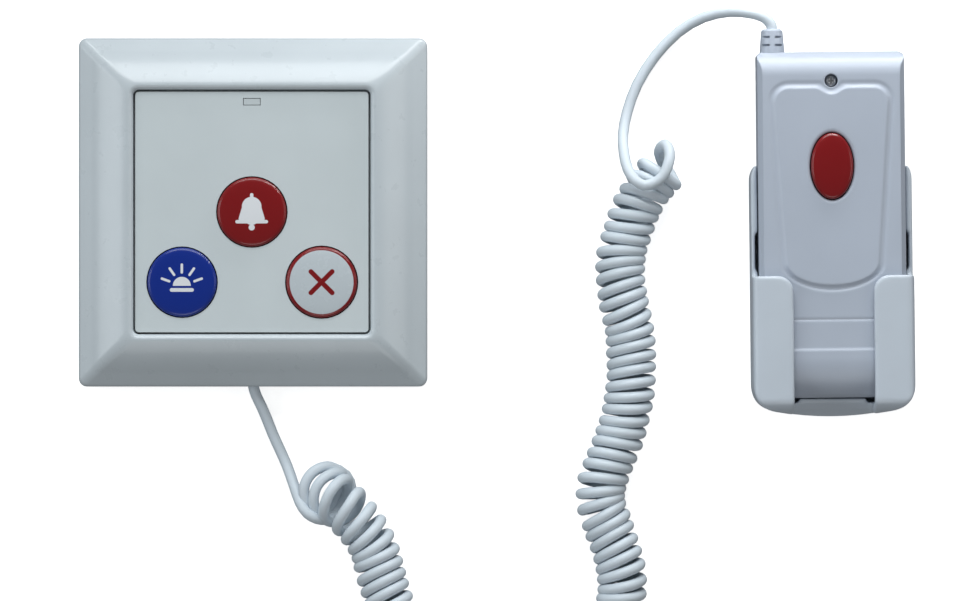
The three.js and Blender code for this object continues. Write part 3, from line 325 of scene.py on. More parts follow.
def sign_axes(canvas, place, middle):
    """Across and along in millimetres from a button's middle."""
    across = canvas.node("ShaderNodeSeparateXYZ", {0: place})
    return across / MM - middle[0], across.outlet(1) / MM - middle[1]


def disc(x, y, centre, radius):
    """Signed distance from a disc's edge."""
    return ((x - centre[0]).math("POWER", 2) + (y - centre[1]).math("POWER", 2)).math("SQRT") - radius


def bar(x, y, start, end, radius):
    """Signed distance from a round-ended bar's edge."""
    span = Vector(end) - Vector(start)
    share = ((x - start[0]) * span.x + (y - start[1]) * span.y) / span.length_squared
    share = share.math("MAXIMUM", 0).math("MINIMUM", 1)
    dx = x - start[0] - share * span.x
    dy = y - start[1] - share * span.y
    return (dx.math("POWER", 2) + dy.math("POWER", 2)).math("SQRT") - radius


def together(first, *others):
    """The distance to the nearest of several forms."""
    for other in others:
        first = first.math("MINIMUM", other)
    return first


def inked(distance):
    """1 inside a printed edge, 0 outside it."""
    return distance.soft_step(0.05, -0.05)


def bell_sign(canvas, place):
    x, y = sign_axes(canvas, place, CALL_PLACE)
    dome = disc(x, y, (0, 1.3), 2.4)
    skirt = together(
        bar(x, y, (-1.6, 1), (-2.4, -1.7), 0.8),
        bar(x, y, (1.6, 1), (2.4, -1.7), 0.8),
        bar(x, y, (0, 1), (0, -1.4), 1.8))
    rim = bar(x, y, (-3.6, -2.4), (3.6, -2.4), 0.42)
    knob = bar(x, y, (0, 3.4), (0, 4.2), 0.42)
    clapper = disc(x, y, (0, -3.8), 0.75)
    return inked(together(dome, skirt, rim, knob, clapper))


def beacon_sign(canvas, place):
    x, y = sign_axes(canvas, place, EMERGENCY_PLACE)
    dome = disc(x, y, (0, -0.9), 2.2).math("MAXIMUM", -0.9 - y)
    base = bar(x, y, (-2.5, -1.9), (2.5, -1.9), 0.45)
    rays = [
        bar(x, y, (3.3 * math.cos(angle), 3.3 * math.sin(angle) - 0.9),
            (5.2 * math.cos(angle), 5.2 * math.sin(angle) - 0.9), 0.3)
        for angle in map(math.radians, (20, 55, 90, 125, 160))
    ]
    return inked(together(dome, base, *rays))


def cross_sign(canvas, place):
    x, y = sign_axes(canvas, place, CANCEL_PLACE)
    arms = together(
        bar(x, y, (-2.6, -2.6), (2.6, 2.6), 0.6), bar(x, y, (-2.6, 2.6), (2.6, -2.6), 0.6))
    ring = 0 - disc(x, y, (0, 0), CANCEL_RADIUS - 0.85)
    return inked(together(arms, ring))


FRAME_WHITE = (0.53, 0.585, 0.62, 1)
PANEL_WHITE = (0.585, 0.645, 0.665, 1)
CANCEL_WHITE = (0.52, 0.575, 0.61, 1)
HANDSET_WHITE = (0.455, 0.505, 0.59, 1)
HOLDER_WHITE = (0.56, 0.62, 0.69, 1)
CORD_WHITE = (0.62, 0.69, 0.75, 1)
RED = linear(125, 12, 17)
BLUE = linear(6, 41, 134)
PRINT_WHITE = linear(225, 228, 232)

frame_white = plastic("frame_plastic", FRAME_WHITE, roughness=0.3, grain=0.2, coat=0.25)
panel_white = plastic("panel_plastic", PANEL_WHITE, roughness=0.42, grain=0.35)
cover_white = plastic("cover_plastic", FRAME_WHITE, roughness=0.45, grain=0.5)
handset_white = plastic("handset_plastic", HANDSET_WHITE, roughness=0.38, grain=0.3)
holder_white = plastic("holder_plastic", HOLDER_WHITE, roughness=0.36, grain=0.3)
oval_red = plastic("oval_button_plastic", RED, roughness=0.25, grain=0.15, coat=0.4)
call_red = plastic("call_button_plastic", RED, 0.25, 0.15, bell_sign, PRINT_WHITE, 0.4)
emergency_blue = plastic("emergency_button_plastic", BLUE, 0.25, 0.15, beacon_sign, PRINT_WHITE, 0.4)
cancel_white = plastic("cancel_button_plastic", CANCEL_WHITE, 0.28, 0.15, cross_sign, RED, 0.3)
cord_white = jacket("cord_jacket", CORD_WHITE)
steel = metal("plated_steel", (0.62, 0.63, 0.65, 1), 0.25, (1, 1, 8))
copper = metal("copper_wire", (0.72, 0.36, 0.2, 1), 0.28, (6, 1, 1))
board_green = laminate("board_laminate")
body_black = component("component_black", linear(38, 39, 42))
sleeve_blue = component("battery_sleeve", linear(58, 74, 98))
milky = plastic("light_pipe", shade(PANEL_WHITE, 0.93), roughness=0.2, grain=0.1)
lamp_red = clear("lamp_lens", linear(190, 62, 54))


# Mesh helpers

def finished(name, bm, finish, body, nodes, sharp=35):
    """Makes a piece of the scene from a mesh in millimetres that stands for the CAD nodes."""
    bmesh.ops.scale(bm, vec=(MM, MM, MM), verts=bm.verts)
    bmesh.ops.recalc_face_normals(bm, faces=bm.faces)
    mesh = bpy.data.meshes.new(name)
    bm.to_mesh(mesh)
    bm.free()
    mesh.shade_smooth()
    mesh.set_sharp_from_angle(angle=math.radians(sharp))
    mesh.materials.append(finish)
    piece = bpy.data.objects.new(name, mesh)
    bpy.context.scene.collection.objects.link(piece)
    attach(piece, body)
    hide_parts(*nodes)
    return piece


def softened(node, finish, edge):
    """A CAD node's own shape with its facets merged and its edges rounded."""
    bm = bmesh.new()
    bm.from_mesh(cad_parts[node].data)
    bmesh.ops.scale(bm, vec=(1 / MM, 1 / MM, 1 / MM), verts=bm.verts)
    bmesh.ops.remove_doubles(bm, verts=bm.verts, dist=0.001)
    bmesh.ops.dissolve_limit(
        bm, angle_limit=math.radians(0.5), verts=bm.verts, edges=bm.edges)
    edges = [e for e in bm.edges if e.is_manifold and e.calc_face_angle(0) > math.radians(38)]
    bmesh.ops.bevel(
        bm, geom=edges, offset=edge, segments=2, profile=0.5, affect="EDGES",
        clamp_overlap=True, material=-1)
    piece = finished(f"{node}_moulding", bm, finish, SET, [node], sharp=50)
    level = piece.modifiers.new("level_faces", "WEIGHTED_NORMAL")
    level.keep_sharp = True
    return piece


def rounded_outline(half_width, half_height, corner, z, steps=6):
    """A round-cornered outline as points, counter-clockwise from +X."""
    points = []
    for quarter, (sx, sy) in enumerate(((1, 1), (-1, 1), (-1, -1), (1, -1))):
        middle = Vector((sx * (half_width - corner), sy * (half_height - corner), z))
        for step in range(steps + 1):
            angle = math.radians(90 * (quarter + step / steps))
            points.append(middle + corner * Vector((math.cos(angle), math.sin(angle), 0)))
    return points


def oval_outline(half_width, half_height, z, steps=96, centre=(0, 0)):
    return [
        Vector((centre[0] + half_width * math.cos(math.tau * i / steps),
                centre[1] + half_height * math.sin(math.tau * i / steps), z))
        for i in range(steps)
    ]


def loft(bm, outlines, ring=False):
    """Skins outlines of equal count by extruding each into the next, then joins or caps the ends."""
    spoke = bm.verts.layers.int.new("spoke")
    verts = [bm.verts.new(point) for point in outlines[0]]
    for index, vert in enumerate(verts):
        vert[spoke] = index
    first = [bm.edges.new((verts[i - 1], verts[i])) for i in range(len(verts))]
    edges = first
    for outline in outlines[1:]:
        grown = bmesh.ops.extrude_edge_only(bm, edges=edges)["geom"]
        fresh = {item for item in grown if isinstance(item, bmesh.types.BMVert)}
        for vert in fresh:
            vert.co = outline[vert[spoke]]
        edges = [
            item for item in grown
            if isinstance(item, bmesh.types.BMEdge) and fresh.issuperset(item.verts)
        ]
    if ring:
        bmesh.ops.bridge_loops(bm, edges=first + edges)
    else:
        bmesh.ops.edgeloop_fill(bm, edges=first)
        bmesh.ops.edgeloop_fill(bm, edges=edges)


def arc(centre, radius, start, end, steps):
    """Points of an arc in a section, from start to end degrees."""
    return [
        (centre[0] + radius * math.cos(math.radians(start + (end - start) * i / steps)),
         centre[1] + radius * math.sin(math.radians(start + (end - start) * i / steps)))
        for i in range(steps + 1)
    ]


def bezier(start, first, second, end, steps):
    """Points of a cubic curve in a section."""
    points = []
    for step in range(steps + 1):
        t = step / steps
        weights = ((1 - t) ** 3, 3 * t * (1 - t) ** 2, 3 * t * t * (1 - t), t ** 3)
        points.append(tuple(
            sum(w * p[axis] for w, p in zip(weights, (start, first, second, end)))
            for axis in (0, 1)))
    return points


# Cord: a tail from the station, the curly part and a tail to the handset

class Route:
    """A smooth curve through points, measured along its length."""

    def __init__(self, points, steps=16):
        points = [Vector(p) for p in points]
        padded = [2 * points[0] - points[1], *points, 2 * points[-1] - points[-2]]
        self.samples = [points[0]]
        for before, here, there, after in zip(padded, padded[1:], padded[2:], padded[3:]):
            for step in range(1, steps + 1):
                self.samples.append(self.between(before, here, there, after, step / steps))
        self.distances = [0.0]
        for last, point in zip(self.samples, self.samples[1:]):
            self.distances.append(self.distances[-1] + (point - last).length)
        self.length = self.distances[-1]

    @staticmethod
    def between(before, here, there, after, share):
        """Centripetal Catmull-Rom, which doesn't overshoot where points are close."""
        t0 = 0.0
        t1 = t0 + math.sqrt((here - before).length)
        t2 = t1 + math.sqrt((there - here).length)
        t3 = t2 + math.sqrt((after - there).length)
        t = t1 + (t2 - t1) * share

        def blend(a, b, start, end):
            return a.lerp(b, (t - start) / (end - start))

        near = blend(blend(before, here, t0, t1), blend(here, there, t1, t2), t0, t2)
        far = blend(blend(here, there, t1, t2), blend(there, after, t2, t3), t1, t3)
        return blend(near, far, t1, t2)

    def at(self, distance):
        """The point and the direction at a distance from the start."""
        index = bisect.bisect_right(self.distances, distance) - 1
        index = min(max(index, 0), len(self.samples) - 2)
        span = self.samples[index + 1] - self.samples[index]
        share = (distance - self.distances[index]) / span.length
        return self.samples[index] + span * share, span.normalized()


STATION_TAIL = [
    (0, -40.6, 4.2),
    (0, -43, 4.1),
    (0.7, -45.3, 3.6),
    (1.9, -47.9, 2.7),
    (3.2, -51, 1.95),
    (4.6, -54.6, 1.5),
]
FIRST_TURN = [
    (6.4, -58.6, 1.5),
    (8.2, -62.6, 2.0),
    (10.1, -67.7, 4.2),
    (11.6, -71.6, 6.8),
    (13.5, -74.3, 8.1),
    (15.8, -75.6, 7.6),
    (18.3, -75.9, 5.2),
    (20.9, -75, 2.6),
    (23.3, -72.4, 1.5),
    (24.2, -68.5, 2.2),
    (22.9, -65, 3.6),
]
COIL_AXIS = [
    (16.4, -68.6),
    (20.4, -70.9),
    (25.8, -76.3),
    (29.7, -82.6),
    (31.4, -88.8),
    (33.1, -94.6),
    (35.2, -101.6),
    (39, -109.5),
    (45, -116.6),
    (52.8, -121.2),
    (61.8, -122.6),
    (70.9, -121.1),
    (78.9, -116.7),
    (85.2, -109.6),
    (89.2, -101.4),
    (91, -94.9),
    (91, -89.1),
    (89.8, -83.7),
    (87.7, -77.4),
    (85.9, -71.8),
    (86.1, -67.1),
    (87.9, -61.9),
    (90.4, -55.7),
    (92.4, -48.3),
    (93.3, -41.9),
    (93.4, -35.5),
    (92.9, -28.5),
    (91.5, -22.1),
    (90.7, -15.4),
    (91, -9.8),
    (92.6, -4.6),
    (94.5, 0.9),
    (96.1, 3.8),
    (98.2, 7.2),
    (100.4, 9.4),
]
LAST_TURN = [
    (104.3, 7.4, 3.4),
    (103.1, 9.8, 1.7),
    (101.3, 12.4, 1.7),
    (100.4, 14.6, 3.2),
    (100.7, 16.1, 6),
    (101.7, 16.7, 9),
    (102.5, 15.6, 11.6),
    (102.7, 13.5, 13.2),
    (102, 10.8, 14.2),
    (100.8, 8.6, 14.4),
    (99, 7.2, 14.4),
]
HANDSET_TAIL = [
    (96.5, 6.5, 14.4),
    (94.2, 7.7, 14.2),
    (92.5, 10.4, 12.4),
    (91.6, 14.4, 8.4),
    (91.4, 19.2, 4.5),
    (92.5, 25, 2.1),
    (95, 31.8, 1.5),
    (99.4, 38.8, 1.5),
    (105.1, 44.7, 1.9),
    (111.3, 48.3, 3.6),
    (117.8, 49.6, 6),
    (123, 49.1, 8),
    (126.2, 48, 8.6),
    (127.7, 46.5, 8.6),
    (127.99, 45.75, 8.6),
    (128.05, 44.9, 8.6),
]

# The first turns hang loose and lean over. For each: how far along the axis its upper strand is,
# its radius, its upper strand's height, and how far its upper and lower strands lean
LOOSE_TURNS = [
    (2.1, 6.6, 7.2, 6.0, 1.2),
    (3.3, 6.1, 8.6, 4.0, 2.0),
    (4.8, 5.5, 10.6, 1.8, 2.8),
    (9.1, 5.3, 11.1, 0.9, 1.6),
    (13.1, 4.95, 11.1, 0.4, 0.8),
    (16.6, TURN_RADIUS, 11.1, 0.1, 0.3),
    (19.7, TURN_RADIUS, 11.1, 0.0, 0.0),
]
POINTS_PER_TURN = 24


def eased(values, at):
    """Reads a list at a place between its entries, level at each entry."""
    at = min(max(at, 0), len(values) - 1)
    index = min(int(at), len(values) - 2)
    share = at - index
    share = share * share * (3 - 2 * share)
    return values[index] + (values[index + 1] - values[index]) * share


def along_coil(axis, turn):
    """How far along the axis a place in the winding is."""
    loose = [row[0] for row in LOOSE_TURNS]
    at = turn - 0.25
    last = len(loose) - 1
    if at < last:
        index = min(max(int(at), 0), last - 1)
        return loose[index] + (loose[index + 1] - loose[index]) * (at - index)
    return loose[-1] + (axis.length - loose[-1]) * (at - last) / (COIL_TURNS - last)


def coil_points():
    """A right-handed winding round the axis, from its first upper strand to its last."""
    axis = Route([(x, y, 0) for x, y in COIL_AXIS])
    leans = [value for row in LOOSE_TURNS for value in row[3:]]
    points = []
    for step in range(1, int((COIL_TURNS + 0.5) * POINTS_PER_TURN)):
        turn = step / POINTS_PER_TURN
        middle, ahead = axis.at(along_coil(axis, turn) + 0.12 * math.sin(turn * 2.3))
        left = Vector((-ahead.y, ahead.x, 0))
        angle = math.tau * turn
        radius = eased([row[1] for row in LOOSE_TURNS], turn) + 0.06 * math.sin(turn * 1.7)
        top = eased([row[2] for row in LOOSE_TURNS], turn - 0.25)
        low = COIL_HEIGHT - TURN_RADIUS
        lean = eased(leans, 2 * turn - 0.5) + 0.35 * math.sin(turn * 0.83)
        height = (top + low) / 2 + (top - low) / 2 * math.sin(angle)
        points.append(
            middle + left * radius * math.cos(angle) + Vector((0, 0, height))
            - ahead * (lean * math.sin(angle) + SKEW * math.cos(angle)))
    return points


def curly_cord():
    """The whole cord as one tube along its route."""
    path = Route([*STATION_TAIL, *FIRST_TURN, *coil_points(), *LAST_TURN, *HANDSET_TAIL], 2)
    data = bpy.data.curves.new("curly_cord", "CURVE")
    data.dimensions = "3D"
    data.bevel_depth = CORD_RADIUS * MM
    data.bevel_resolution = 5
    data.use_fill_caps = True
    spline = data.splines.new("POLY")
    spline.points.add(len(path.samples) - 1)
    for point, place in zip(spline.points, path.samples):
        point.co = (*(place * MM), 1)
    cord = bpy.data.objects.new("curly_cord", data)
    bpy.context.scene.collection.objects.link(cord)
    data.materials.append(cord_white)
    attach(cord, SET)
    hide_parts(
        "cord_station_tail", "cord_handset_tail", *[f"cord_curl_{i}" for i in range(1, 8)])


# Station

def frame_section():
    """The ring's outer section from its skirt's foot up the slope to the crest, as (half, height)."""
    slope_foot = STATION_SIDE / 2 - FRAME_EDGE_ROUND
    slope_low = FRAME_EDGE_TOP + FRAME_EDGE_ROUND
    crest = PANEL_WIDTH / 2 + PANEL_GAP + FRAME_INNER_ROUND
    run = slope_foot - crest
    rise = FRAME_CREST - slope_low
    slope = bezier(
        (slope_foot, slope_low), (crest + run * 0.68, FRAME_CREST - rise * 0.5),
        (crest + run * 0.3, FRAME_CREST - rise * 0.13), (crest, FRAME_CREST), 14)
    return [
        (STATION_SIDE / 2, FRAME_LIFT),
        (STATION_SIDE / 2, FRAME_EDGE_TOP - 0.6),
        *arc((slope_foot, FRAME_EDGE_TOP), FRAME_EDGE_ROUND, 0, 52, 8),
        *slope[2:],
    ]


def outer_frame():
    """A ring of one section with mitred corners, closed inside by its lip."""
    bm = bmesh.new()
    outside = frame_section()
    crest = outside[-1]
    corner = STATION_CORNER
    tall = (PANEL_HEIGHT - PANEL_WIDTH) / 2
    outlines = []
    for half, z in outside:
        share = max(0, (STATION_SIDE / 2 - half) / (STATION_SIDE / 2 - crest[0]))
        outlines.append(rounded_outline(half, half + tall * share ** 2, corner + 0.6 * share, z))
    window = (PANEL_WIDTH / 2 + PANEL_GAP, PANEL_HEIGHT / 2 + PANEL_GAP)
    window_corner = PANEL_CORNER + PANEL_GAP
    for x, z in arc((window[0] + FRAME_INNER_ROUND, FRAME_CREST - FRAME_INNER_ROUND),
                    FRAME_INNER_ROUND, 90, 180, 8)[1:]:
        out = x - window[0]
        outlines.append(rounded_outline(x, window[1] + out, window_corner + out * 0.8, z))
    lip = LIP_WALL
    outlines.append(rounded_outline(*window, window_corner, LIP_FOOT))
    outlines.append(rounded_outline(window[0] + lip, window[1] + lip, window_corner + lip, LIP_FOOT))
    for half, z in ((window[0] + lip, FRAME_CREST - 2.2), (STATION_SIDE / 2 - 3.6, 6.6),
                    (STATION_SIDE / 2 - FRAME_WALL, FRAME_EDGE_TOP - 1.6),
                    (STATION_SIDE / 2 - FRAME_WALL, FRAME_LIFT)):
        outlines.append(rounded_outline(half, half + (0.9 if half < 35 else 0), 1.2, z))
    loft(bm, outlines, ring=True)
    return finished(
        "mitred_frame", bm, frame_white, SET, ["outer_frame"], sharp=40)


def round_button(name, node, middle, radius, finish):
    """A domed, hollow cap with a stem, a straight wall, a soft rim and a flange under the panel."""
    top = PANEL_FACE + BUTTON_PROUD
    flange = radius + BUTTON_FLANGE
    ceiling = top - BUTTON_WALL - CROWN
    section = [
        (0.05, STEM_FOOT), (STEM_RADIUS, STEM_FOOT), (STEM_RADIUS, ceiling),
        (radius - BUTTON_WALL, ceiling), (radius - BUTTON_WALL, FLANGE_FOOT),
        (flange, FLANGE_FOOT), (flange, FLANGE_TOP), (radius, FLANGE_TOP + 0.05),
        (radius, top - BUTTON_RIM - CROWN),
        *arc((radius - BUTTON_RIM, top - BUTTON_RIM - CROWN), BUTTON_RIM, 0, 66, 8)[1:],
    ]
    edge_x, edge_z = section[-1]
    section += [
        (edge_x * math.cos(math.radians(a)), edge_z + (top - edge_z) * math.sin(math.radians(a)))
        for a in range(6, 90, 6)
    ]
    section.append((0.05, top))
    bm = bmesh.new()
    loft(bm, [oval_outline(r, r, z, centre=middle) for r, z in section])
    return finished(name, bm, finish, node, [node], sharp=50)


# Handset, made in its own place and then laid down beside the cord

def laid(bm):
    """Moves a mesh from the handset's own place to where the handset lies."""
    bmesh.ops.rotate(
        bm, cent=(0, 0, 0), matrix=Matrix.Rotation(HANDSET_TURN, 3, "Z"), verts=bm.verts)
    bmesh.ops.translate(bm, vec=(*HANDSET_PLACE, 0), verts=bm.verts)
    return bm


def smooth_step(value, low, high):
    share = min(max((value - low) / (high - low), 0), 1)
    return share * share * (3 - 2 * share)


def blended(first, second, width):
    """The lesser of two distances, with a round turn from one to the other."""
    near = max(width - abs(first - second), 0)
    return min(first, second) - near * near / (4 * width)


def pad_edge(x, y):
    """How far a place is inside the raised pad's outline, in millimetres."""
    x = abs(x)
    widening = (PAD_TOP_HALF - PAD_FOOT_HALF) / (PAD_SHOULDER - PAD_FOOT)
    half = PAD_FOOT_HALF + widening * (y - PAD_FOOT)
    if y > PAD_SHOULDER:
        side_x, side_y = half - PAD_CORNER, PAD_TOP - PAD_CORNER
        if x > side_x and y > side_y:
            return PAD_CORNER - math.hypot(x - side_x, y - side_y)
        round_screw = math.hypot(x, y - SCREW_Y) - PAD_DIP
        return blended(min(half - x, PAD_TOP - y), round_screw, PAD_DIP_BLEND)
    if y > PAD_FOOT:
        return half - x
    reach = PAD_FOOT - PAD_TIP
    scaled = math.hypot(x / PAD_FOOT_HALF, (PAD_FOOT - y) / reach)
    sideways = (x / PAD_FOOT_HALF / scaled) ** 2 if scaled else 0
    return (1 - scaled) * (reach + (PAD_FOOT_HALF - reach) * sideways)


def face_height(x, y):
    """The front's relief over its plain form."""
    inside = pad_edge(x, y)
    moat = 0.2 + 0.12 * smooth_step(PAD_FOOT - y, 0, 3)
    height = PAD_HEIGHT * smooth_step(inside, 0, PAD_SLOPE)
    height -= moat * math.exp(-((inside + 0.5) / 0.5) ** 2)
    height -= GROOVE_DEPTH * math.exp(-((y - GROOVE_Y) / 0.3) ** 2)
    height += STEP_HEIGHT * smooth_step(STEP_Y - y, 0, 0.9)
    return height


def round_corner(value_x, value_y, half_x, half_y, radius):
    """Draws a place near a square corner in to a round one."""
    dx, dy = abs(value_x) - (half_x - radius), abs(value_y) - (half_y - radius)
    if dx <= 0 or dy <= 0:
        return value_x, value_y
    pull = max(dx, dy) / math.hypot(dx, dy)
    return (math.copysign(half_x - radius + dx * pull, value_x),
            math.copysign(half_y - radius + dy * pull, value_y))


def end_profile(share):
    """Place and drop along the handset's length, level in the middle and round at both ends."""
    top_quarter = HANDSET_END_ROUND * math.pi / 2
    foot_quarter = HANDSET_FOOT_ROUND * math.pi / 2
    top_start = HANDSET_LENGTH / 2 - HANDSET_END_ROUND
    foot_start = -HANDSET_LENGTH / 2 + HANDSET_FOOT_ROUND
    way = foot_start - foot_quarter
    way += share * (top_start - foot_start + top_quarter + foot_quarter)
    if way > top_start:
        angle = (way - top_start) / HANDSET_END_ROUND
        return (top_start + HANDSET_END_ROUND * math.sin(angle),
                HANDSET_END_ROUND * (1 - math.cos(angle)))
    if way < foot_start:
        angle = (foot_start - way) / HANDSET_FOOT_ROUND
        return (foot_start - HANDSET_FOOT_ROUND * math.sin(angle),
                HANDSET_FOOT_DROP * (1 - math.cos(angle)))
    return way, 0


def side_profile(share):
    """Place and drop across the handset: level, with a chamfer along each side."""
    chamfer = math.hypot(CHAMFER_WIDTH, CHAMFER_DROP)
    level = HANDSET_WIDTH - 2 * CHAMFER_WIDTH
    way = share * (level + 2 * chamfer) - chamfer - level / 2
    beyond = abs(way) - level / 2
    if beyond <= 0:
        return way, 0
    part = beyond / chamfer
    return math.copysign(level / 2 + CHAMFER_WIDTH * part, way), CHAMFER_DROP * part


def carve(piece, tools):
    """Cuts other meshes out of a piece for good."""
    for tool in tools:
        cut = piece.modifiers.new("cut", "BOOLEAN")
        cut.operation = "DIFFERENCE"
        cut.solver = "EXACT"
        cut.object = tool
    depsgraph = bpy.context.evaluated_depsgraph_get()
    carved = bpy.data.meshes.new_from_object(piece.evaluated_get(depsgraph))
    piece.modifiers.clear()
    piece.data = carved
    for tool in tools:
        bpy.data.objects.remove(tool)


def cutter(bm):
    """A mesh in the handset's own millimetres as a tool for carve."""
    laid(bm)
    bmesh.ops.scale(bm, vec=(MM, MM, MM), verts=bm.verts)
    bmesh.ops.recalc_face_normals(bm, faces=bm.faces)
    mesh = bpy.data.meshes.new("cutter")
    bm.to_mesh(mesh)
    bm.free()
    mesh.shade_smooth()
    mesh.set_sharp_from_angle(angle=math.radians(35))
    tool = bpy.data.objects.new("cutter", mesh)
    bpy.context.scene.collection.objects.link(tool)
    return tool


def front_shell():
    """The front as one fine grid with its relief, closed below and hollowed."""
    across, along = 150, 400
    bm = bmesh.new()
    bmesh.ops.create_grid(bm, x_segments=across, y_segments=along, size=0.5)
    for vert in bm.verts:
        x, side_drop = side_profile(vert.co.x + 0.5)
        y, end_drop = end_profile(vert.co.y + 0.5)
        corner = HANDSET_TOP_CORNER if y > 0 else HANDSET_FOOT_CORNER
        x, y = round_corner(x, y, HANDSET_WIDTH / 2, HANDSET_LENGTH / 2, corner)
        drop = max(side_drop, end_drop)
        inside = smooth_step(HANDSET_WIDTH / 2 - CHAMFER_WIDTH - abs(x), -0.2, 0.4)
        vert.co = (x, y, HANDSET_FACE - drop + face_height(x, y) * inside * (end_drop < 5))
    rim = [edge for edge in bm.edges if edge.is_boundary]
    grown = bmesh.ops.extrude_edge_only(bm, edges=rim)["geom"]
    foot = [item for item in grown if isinstance(item, bmesh.types.BMVert)]
    for vert in foot:
        vert.co.z = SHELL_FOOT
    bmesh.ops.holes_fill(bm, edges=[edge for edge in bm.edges if edge.is_boundary], sides=0)
    shell = finished(
        "handset_front", laid(bm), handset_white, SET,
        ["handset_front_shell"], sharp=28)
    carve(shell, [shell_hollow(), oval_hole(), screw_recess(), boot_bore()])
    return shell


def shell_hollow():
    """The room inside the front."""
    bm = bmesh.new()
    half_x, half_y = HANDSET_WIDTH / 2 - SHELL_WALL, HANDSET_LENGTH / 2 - SHELL_WALL
    roof = HANDSET_FACE - SHELL_WALL
    loft(bm, [
        rounded_outline(half_x, half_y - 0.4, 1, SHELL_FOOT - 1),
        rounded_outline(half_x, half_y - 0.4, 1, roof - 3),
        rounded_outline(half_x - 0.6, half_y - 1.8, 1, roof - 1),
        rounded_outline(half_x - 1.6, half_y - 4.4, 1, roof),
    ])
    return cutter(bm)


def oval_hole():
    """The button's hole, dished at its upper edge."""
    bm = bmesh.new()
    half_x, half_y = OVAL_WIDTH / 2 + OVAL_CLEARANCE, OVAL_LENGTH / 2 + OVAL_CLEARANCE
    rim = HANDSET_FACE + PAD_HEIGHT
    heights = (
        (0, 10), (0, rim - 0.55), (0.15, rim - 0.3), (0.45, rim - 0.1), (0.9, rim + 0.01),
        (1.2, rim + 0.9))
    loft(bm, [
        oval_outline(half_x + out, half_y + out, z, centre=(0, OVAL_Y)) for out, z in heights])
    return cutter(bm)


def screw_recess():
    """Room for the screw's shank and its sunk head."""
    bm = bmesh.new()
    seat = SCREW_HEAD_TOP - SCREW_HEAD
    hole = SCREW_RADIUS + 0.12
    heights = (
        (SCREW_SHANK, 8), (SCREW_SHANK, seat), (hole, seat + 0.01), (hole, HANDSET_FACE - 0.2),
        (hole + 0.25, HANDSET_FACE + 0.03), (hole + 0.4, HANDSET_FACE + 1))
    loft(bm, [oval_outline(r, r, z, 48, centre=(0, SCREW_Y)) for r, z in heights])
    return cutter(bm)


def boot_bore():
    """Room for the boot's foot and neck in the handset's end."""
    bm = bmesh.new()
    end = HANDSET_LENGTH / 2
    stations = ((2.0, end - 5), (2.0, end - 1.41), (3.35, end - 1.4), (3.35, end + 1))
    outlines = [
        [Vector((p.x, y, p.y)) for p in oval_outline(r, r, 0, 40, centre=BOOT_PLACE)]
        for r, y in stations
    ]
    loft(bm, outlines)
    return cutter(bm)


def oval_button():
    """A low oval dome with a round rim and a flange under the front."""
    top = HANDSET_FACE + OVAL_PROUD
    half_x, half_y = OVAL_WIDTH / 2, OVAL_LENGTH / 2
    rim_foot = top - OVAL_RIM - OVAL_SHOULDER
    section = [
        (-OVAL_FLANGE, OVAL_FOOT), (-OVAL_FLANGE, OVAL_FOOT + 0.8), (0, OVAL_FOOT + 0.85),
        (0, rim_foot)]
    section += [(OVAL_RIM - x, z) for x, z in arc((0, rim_foot), OVAL_RIM, 0, 60, 8)[1:]]
    bm = bmesh.new()
    outlines = [
        oval_outline(half_x - inset, half_y - inset, z, centre=(0, OVAL_Y)) for inset, z in section]
    inset, edge_z = section[-1]
    for degrees in range(8, 90, 8):
        shrink = math.cos(math.radians(degrees))
        z = edge_z + (top - edge_z) * math.sin(math.radians(degrees))
        outlines.append(oval_outline(
            (half_x - inset) * shrink, (half_y - inset) * shrink, z, centre=(0, OVAL_Y)))
    loft(bm, outlines)
    return finished(
        "oval_push_button", laid(bm), oval_red, "handset_button",
        ["handset_button"], sharp=50)


def cross_screw():
    """Pan head with a cross recess, sunk in the front."""
    top = SCREW_HEAD_TOP
    bm = bmesh.new()
    section = [
        (0.2, SCREW_FOOT), (SCREW_SHANK, SCREW_FOOT + 0.7), (SCREW_SHANK, top - SCREW_HEAD),
        (SCREW_RADIUS, top - SCREW_HEAD + 0.01), (SCREW_RADIUS, top - SCREW_DOME),
        *[(SCREW_RADIUS * math.cos(a), top - SCREW_DOME + SCREW_DOME * math.sin(a))
          for a in map(math.radians, range(15, 90, 15))],
        (0.05, top),
    ]
    loft(bm, [oval_outline(r, r, z, 40, centre=(0, SCREW_Y)) for r, z in section])
    screw = finished(
        "cross_head_screw", laid(bm), steel, SET, ["handset_screw"], sharp=40)
    arms = []
    for half_x, half_y in (CROSS_HALF, CROSS_HALF[::-1]):
        tool = bmesh.new()
        loft(tool, [
            rounded_outline(half_x * 0.5, half_y * 0.8, 0.05, top - CROSS_DEPTH, 2),
            rounded_outline(half_x, half_y, 0.08, top + 0.2, 2)])
        bmesh.ops.translate(tool, vec=(0, SCREW_Y, 0), verts=tool.verts)
        arms.append(cutter(tool))
    carve(screw, arms)
    return screw


def foot_wedge():
    """What is taken off the holder's foot between its arms, so that it slopes away."""
    bm = bmesh.new()
    above = 14.5
    section = ((FOOT_SLOPE[0][0], above), *FOOT_SLOPE, (FOOT_SLOPE[-1][0], above))
    half = HOLDER_WINDOW / 2
    loft(bm, [[Vector((x, y, z)) for y, z in section] for x in (-half, half)])
    return cutter(bm)


def arm_corner(side):
    """What is taken off an arm's inner corner to make it rounder."""
    edge, top, radius = HOLDER_WINDOW / 2, HOLDER_ARM_TOP, HOLDER_ARM_ROUND
    outline = [(edge - 0.4, top + 0.4), (edge - 0.4, top - radius)]
    outline += arc((edge + radius, top - radius), radius, 180, 90, 10)
    outline += [(edge + radius, top + 0.4)]
    bm = bmesh.new()
    loft(bm, [[Vector((side * x, y, z)) for x, y in outline] for z in (16.6, 20)])
    return cutter(bm)


